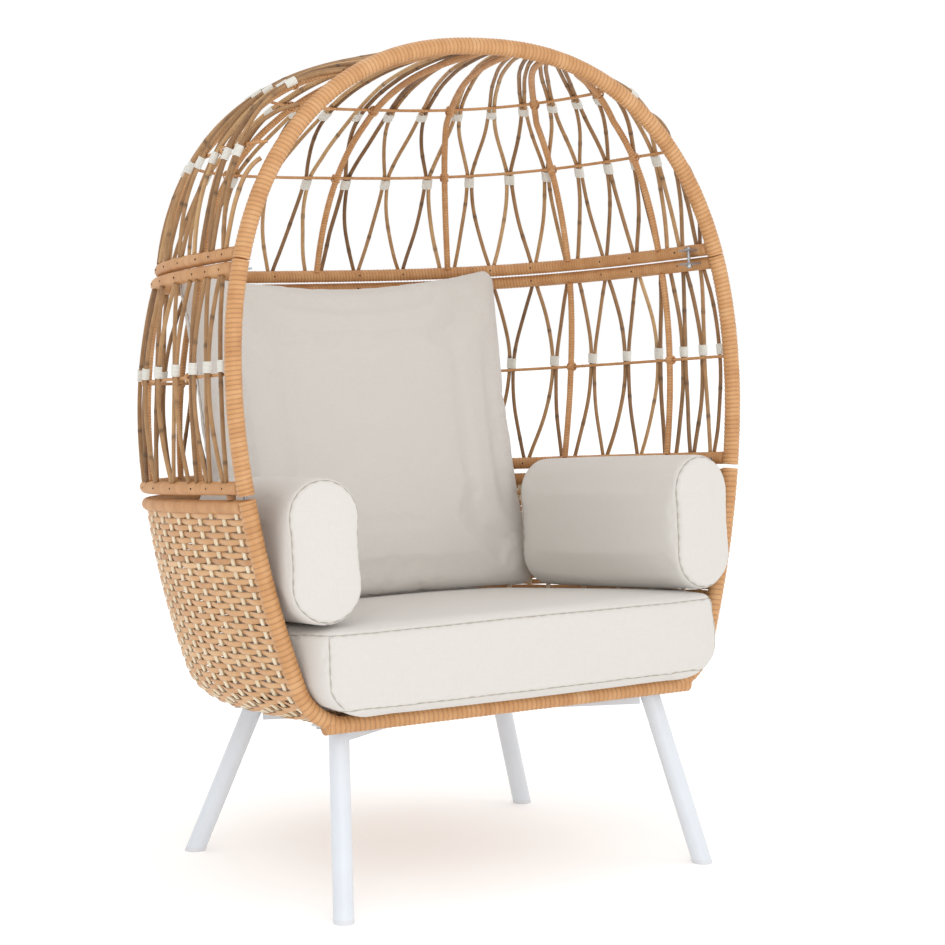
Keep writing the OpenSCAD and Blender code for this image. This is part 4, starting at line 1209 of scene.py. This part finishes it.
def back_place(u, v, w):
    """u across, v up and w back through the cushion, all from the middle of its front face's foot."""
    t = math.radians(BACK_LEAN)
    return [u, BACK_FOOT + w * math.cos(t) + v * math.sin(t),
            BACK_FOOT_Z + v * math.cos(t) - w * math.sin(t)]


def back_outline(grow):
    """The pillow's edge: gently hollow sides between softly pointed corners."""
    o = rounded_outline(BACK_W / 2, BACK_W / 2, BACK_H, 24, 24, 0, 180)
    x, y = o[:, 0] / (BACK_W / 2), o[:, 1] / (BACK_H / 2) - 1
    top = BACK_HOLLOW + (BACK_TOP_HOLLOW - BACK_HOLLOW) * np.clip(y, 0, 1) ** 4
    top = np.where(y < 0, BACK_FOOT_SAG, top)
    x, y = x * (1 - BACK_HOLLOW * (1 - y**4)), y * (1 - top * (1 - x**2))
    return np.stack([x * BACK_W / 2 * grow, BACK_H / 2 + y * BACK_H / 2 * grow], 1)


def back_shape():
    levels = []
    half = BACK_T / 2 - 1
    shares = (0.12, 0.35, 0.6, 0.8, 0.9, 0.96, 0.985)
    for face in (-1, 1):
        for share in (shares if face < 0 else shares[::-1]):
            w = half * (1 - share**5.5) ** 0.6
            levels.append([back_place(u, v, BACK_T / 2 + face * w) for u, v in back_outline(share)])
        if face < 0:
            levels.append([back_place(u, v, BACK_T / 2) for u, v in back_outline(0.998)])
    return stacked(levels)


back_seams = [closed_line([back_place(u, v, BACK_T / 2) for u, v in back_outline(0.995)])]
cushion("linen_back_cushion", "back_cushion", "back", *back_shape(),
        pressure=3.0, cap=0.008, fill=0.75, seams=back_seams, voxel=0.0062)

# ---- Under-frame, hardware and small trim ----------------------------------------------
for node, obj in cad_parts.items():
    if node.startswith("leg_bolts") or node.startswith("joint_"):
        material = STEEL
    elif node.startswith("foot_"):
        material = CAP
    elif node.startswith(("leg_", "cross_bar")):
        material = POWDER
    elif node == "rim_spacers":
        material = WRAP
    else:
        continue
    for i in range(max(1, len(obj.material_slots))):
        if obj.material_slots:
            obj.material_slots[i].material = material
        else:
            obj.data.materials.append(material)

nails = Soup()


def nail(place, out):
    out = unit(out)
    tube(nails, [place + out * d for d in (-1.5, 0.5, 0.9)], [1.7, 1.7, 1.0], 10, 0.5, 1.0)


for z in (LOWER_RAIL_Z, UPPER_RAIL_Z, DOME_RAIL_Z):
    for k in range(1 - LAST_CELL, LAST_CELL):
        out = ring_point(cell_share(k), z) - middle_layer(k, z, 1)
        nail(middle_layer(k, z, -RAIL_R), out)
        if k % 3:
            nail(middle_layer(k, z, RAIL_R), -out)
nails.piece("small_nails", NAIL, slot="steel_hardware")

# ---- Studio ----------------------------------------------------------------------------
def studio_floor():
    mesh = bpy.data.meshes.new("studio_floor")
    size = 14.0
    corners = [(-size, -size, 0), (size, -size, 0), (size, size, 0), (-size, size, 0)]
    mesh.from_pydata(corners, [], [(0, 1, 2, 3)])
    n = Nodes("studio_white")
    n.set(Base_Color=(0.9, 0.9, 0.9, 1), Roughness=0.9, Specular_IOR_Level=0.1,
          Emission_Color=(1, 1, 1, 1), Emission_Strength=0.22)
    mesh.materials.append(n.mat)
    obj = bpy.data.objects.new("studio_floor", mesh)
    bpy.context.scene.collection.objects.link(obj)


def area_light(name, place, target, size, power, colour=(1, 1, 1)):
    light = bpy.data.lights.new(name, "AREA")
    light.shape, light.size, light.energy, light.color = "DISK", size, power, colour
    obj = bpy.data.objects.new(name, light)
    obj.location = place
    obj.rotation_euler = (Vector(target) - Vector(place)).to_track_quat("-Z", "Y").to_euler()
    bpy.context.scene.collection.objects.link(obj)


studio_floor()
world = bpy.data.worlds.new("studio_world")
world.use_nodes = True
world.node_tree.nodes["Background"].inputs["Color"].default_value = (1, 1, 1, 1)
world.node_tree.nodes["Background"].inputs["Strength"].default_value = 1.0
bpy.context.scene.world = world
area_light("key", (-2.6, -3.4, 3.6), (0, 0, 0.8), 2.6, 24)
area_light("front", (-1.2, -4.6, 1.5), (0, 0, 0.8), 3.0, 38)
area_light("fill", (3.6, -2.6, 2.4), (0, 0, 0.8), 3.0, 12)
area_light("top", (0.2, 0.6, 4.2), (0, 0, 0.6), 3.0, 14)

camera = bpy.data.cameras.new("camera")
camera.sensor_width = 36
camera.lens = 36 * 2545.84 / 945
camera_obj = bpy.data.objects.new("camera", camera)
camera_obj.location = (-2.4741, -3.8610 + (FRONT_Y / 1000 + 0.1373), 1.1928)
camera_obj.rotation_euler = (math.radians(90 - 5.6725), 0, math.radians(-32.4448))
bpy.context.scene.collection.objects.link(camera_obj)
bpy.context.scene.camera = camera_obj
bpy.context.scene.view_settings.view_transform = "Standard"
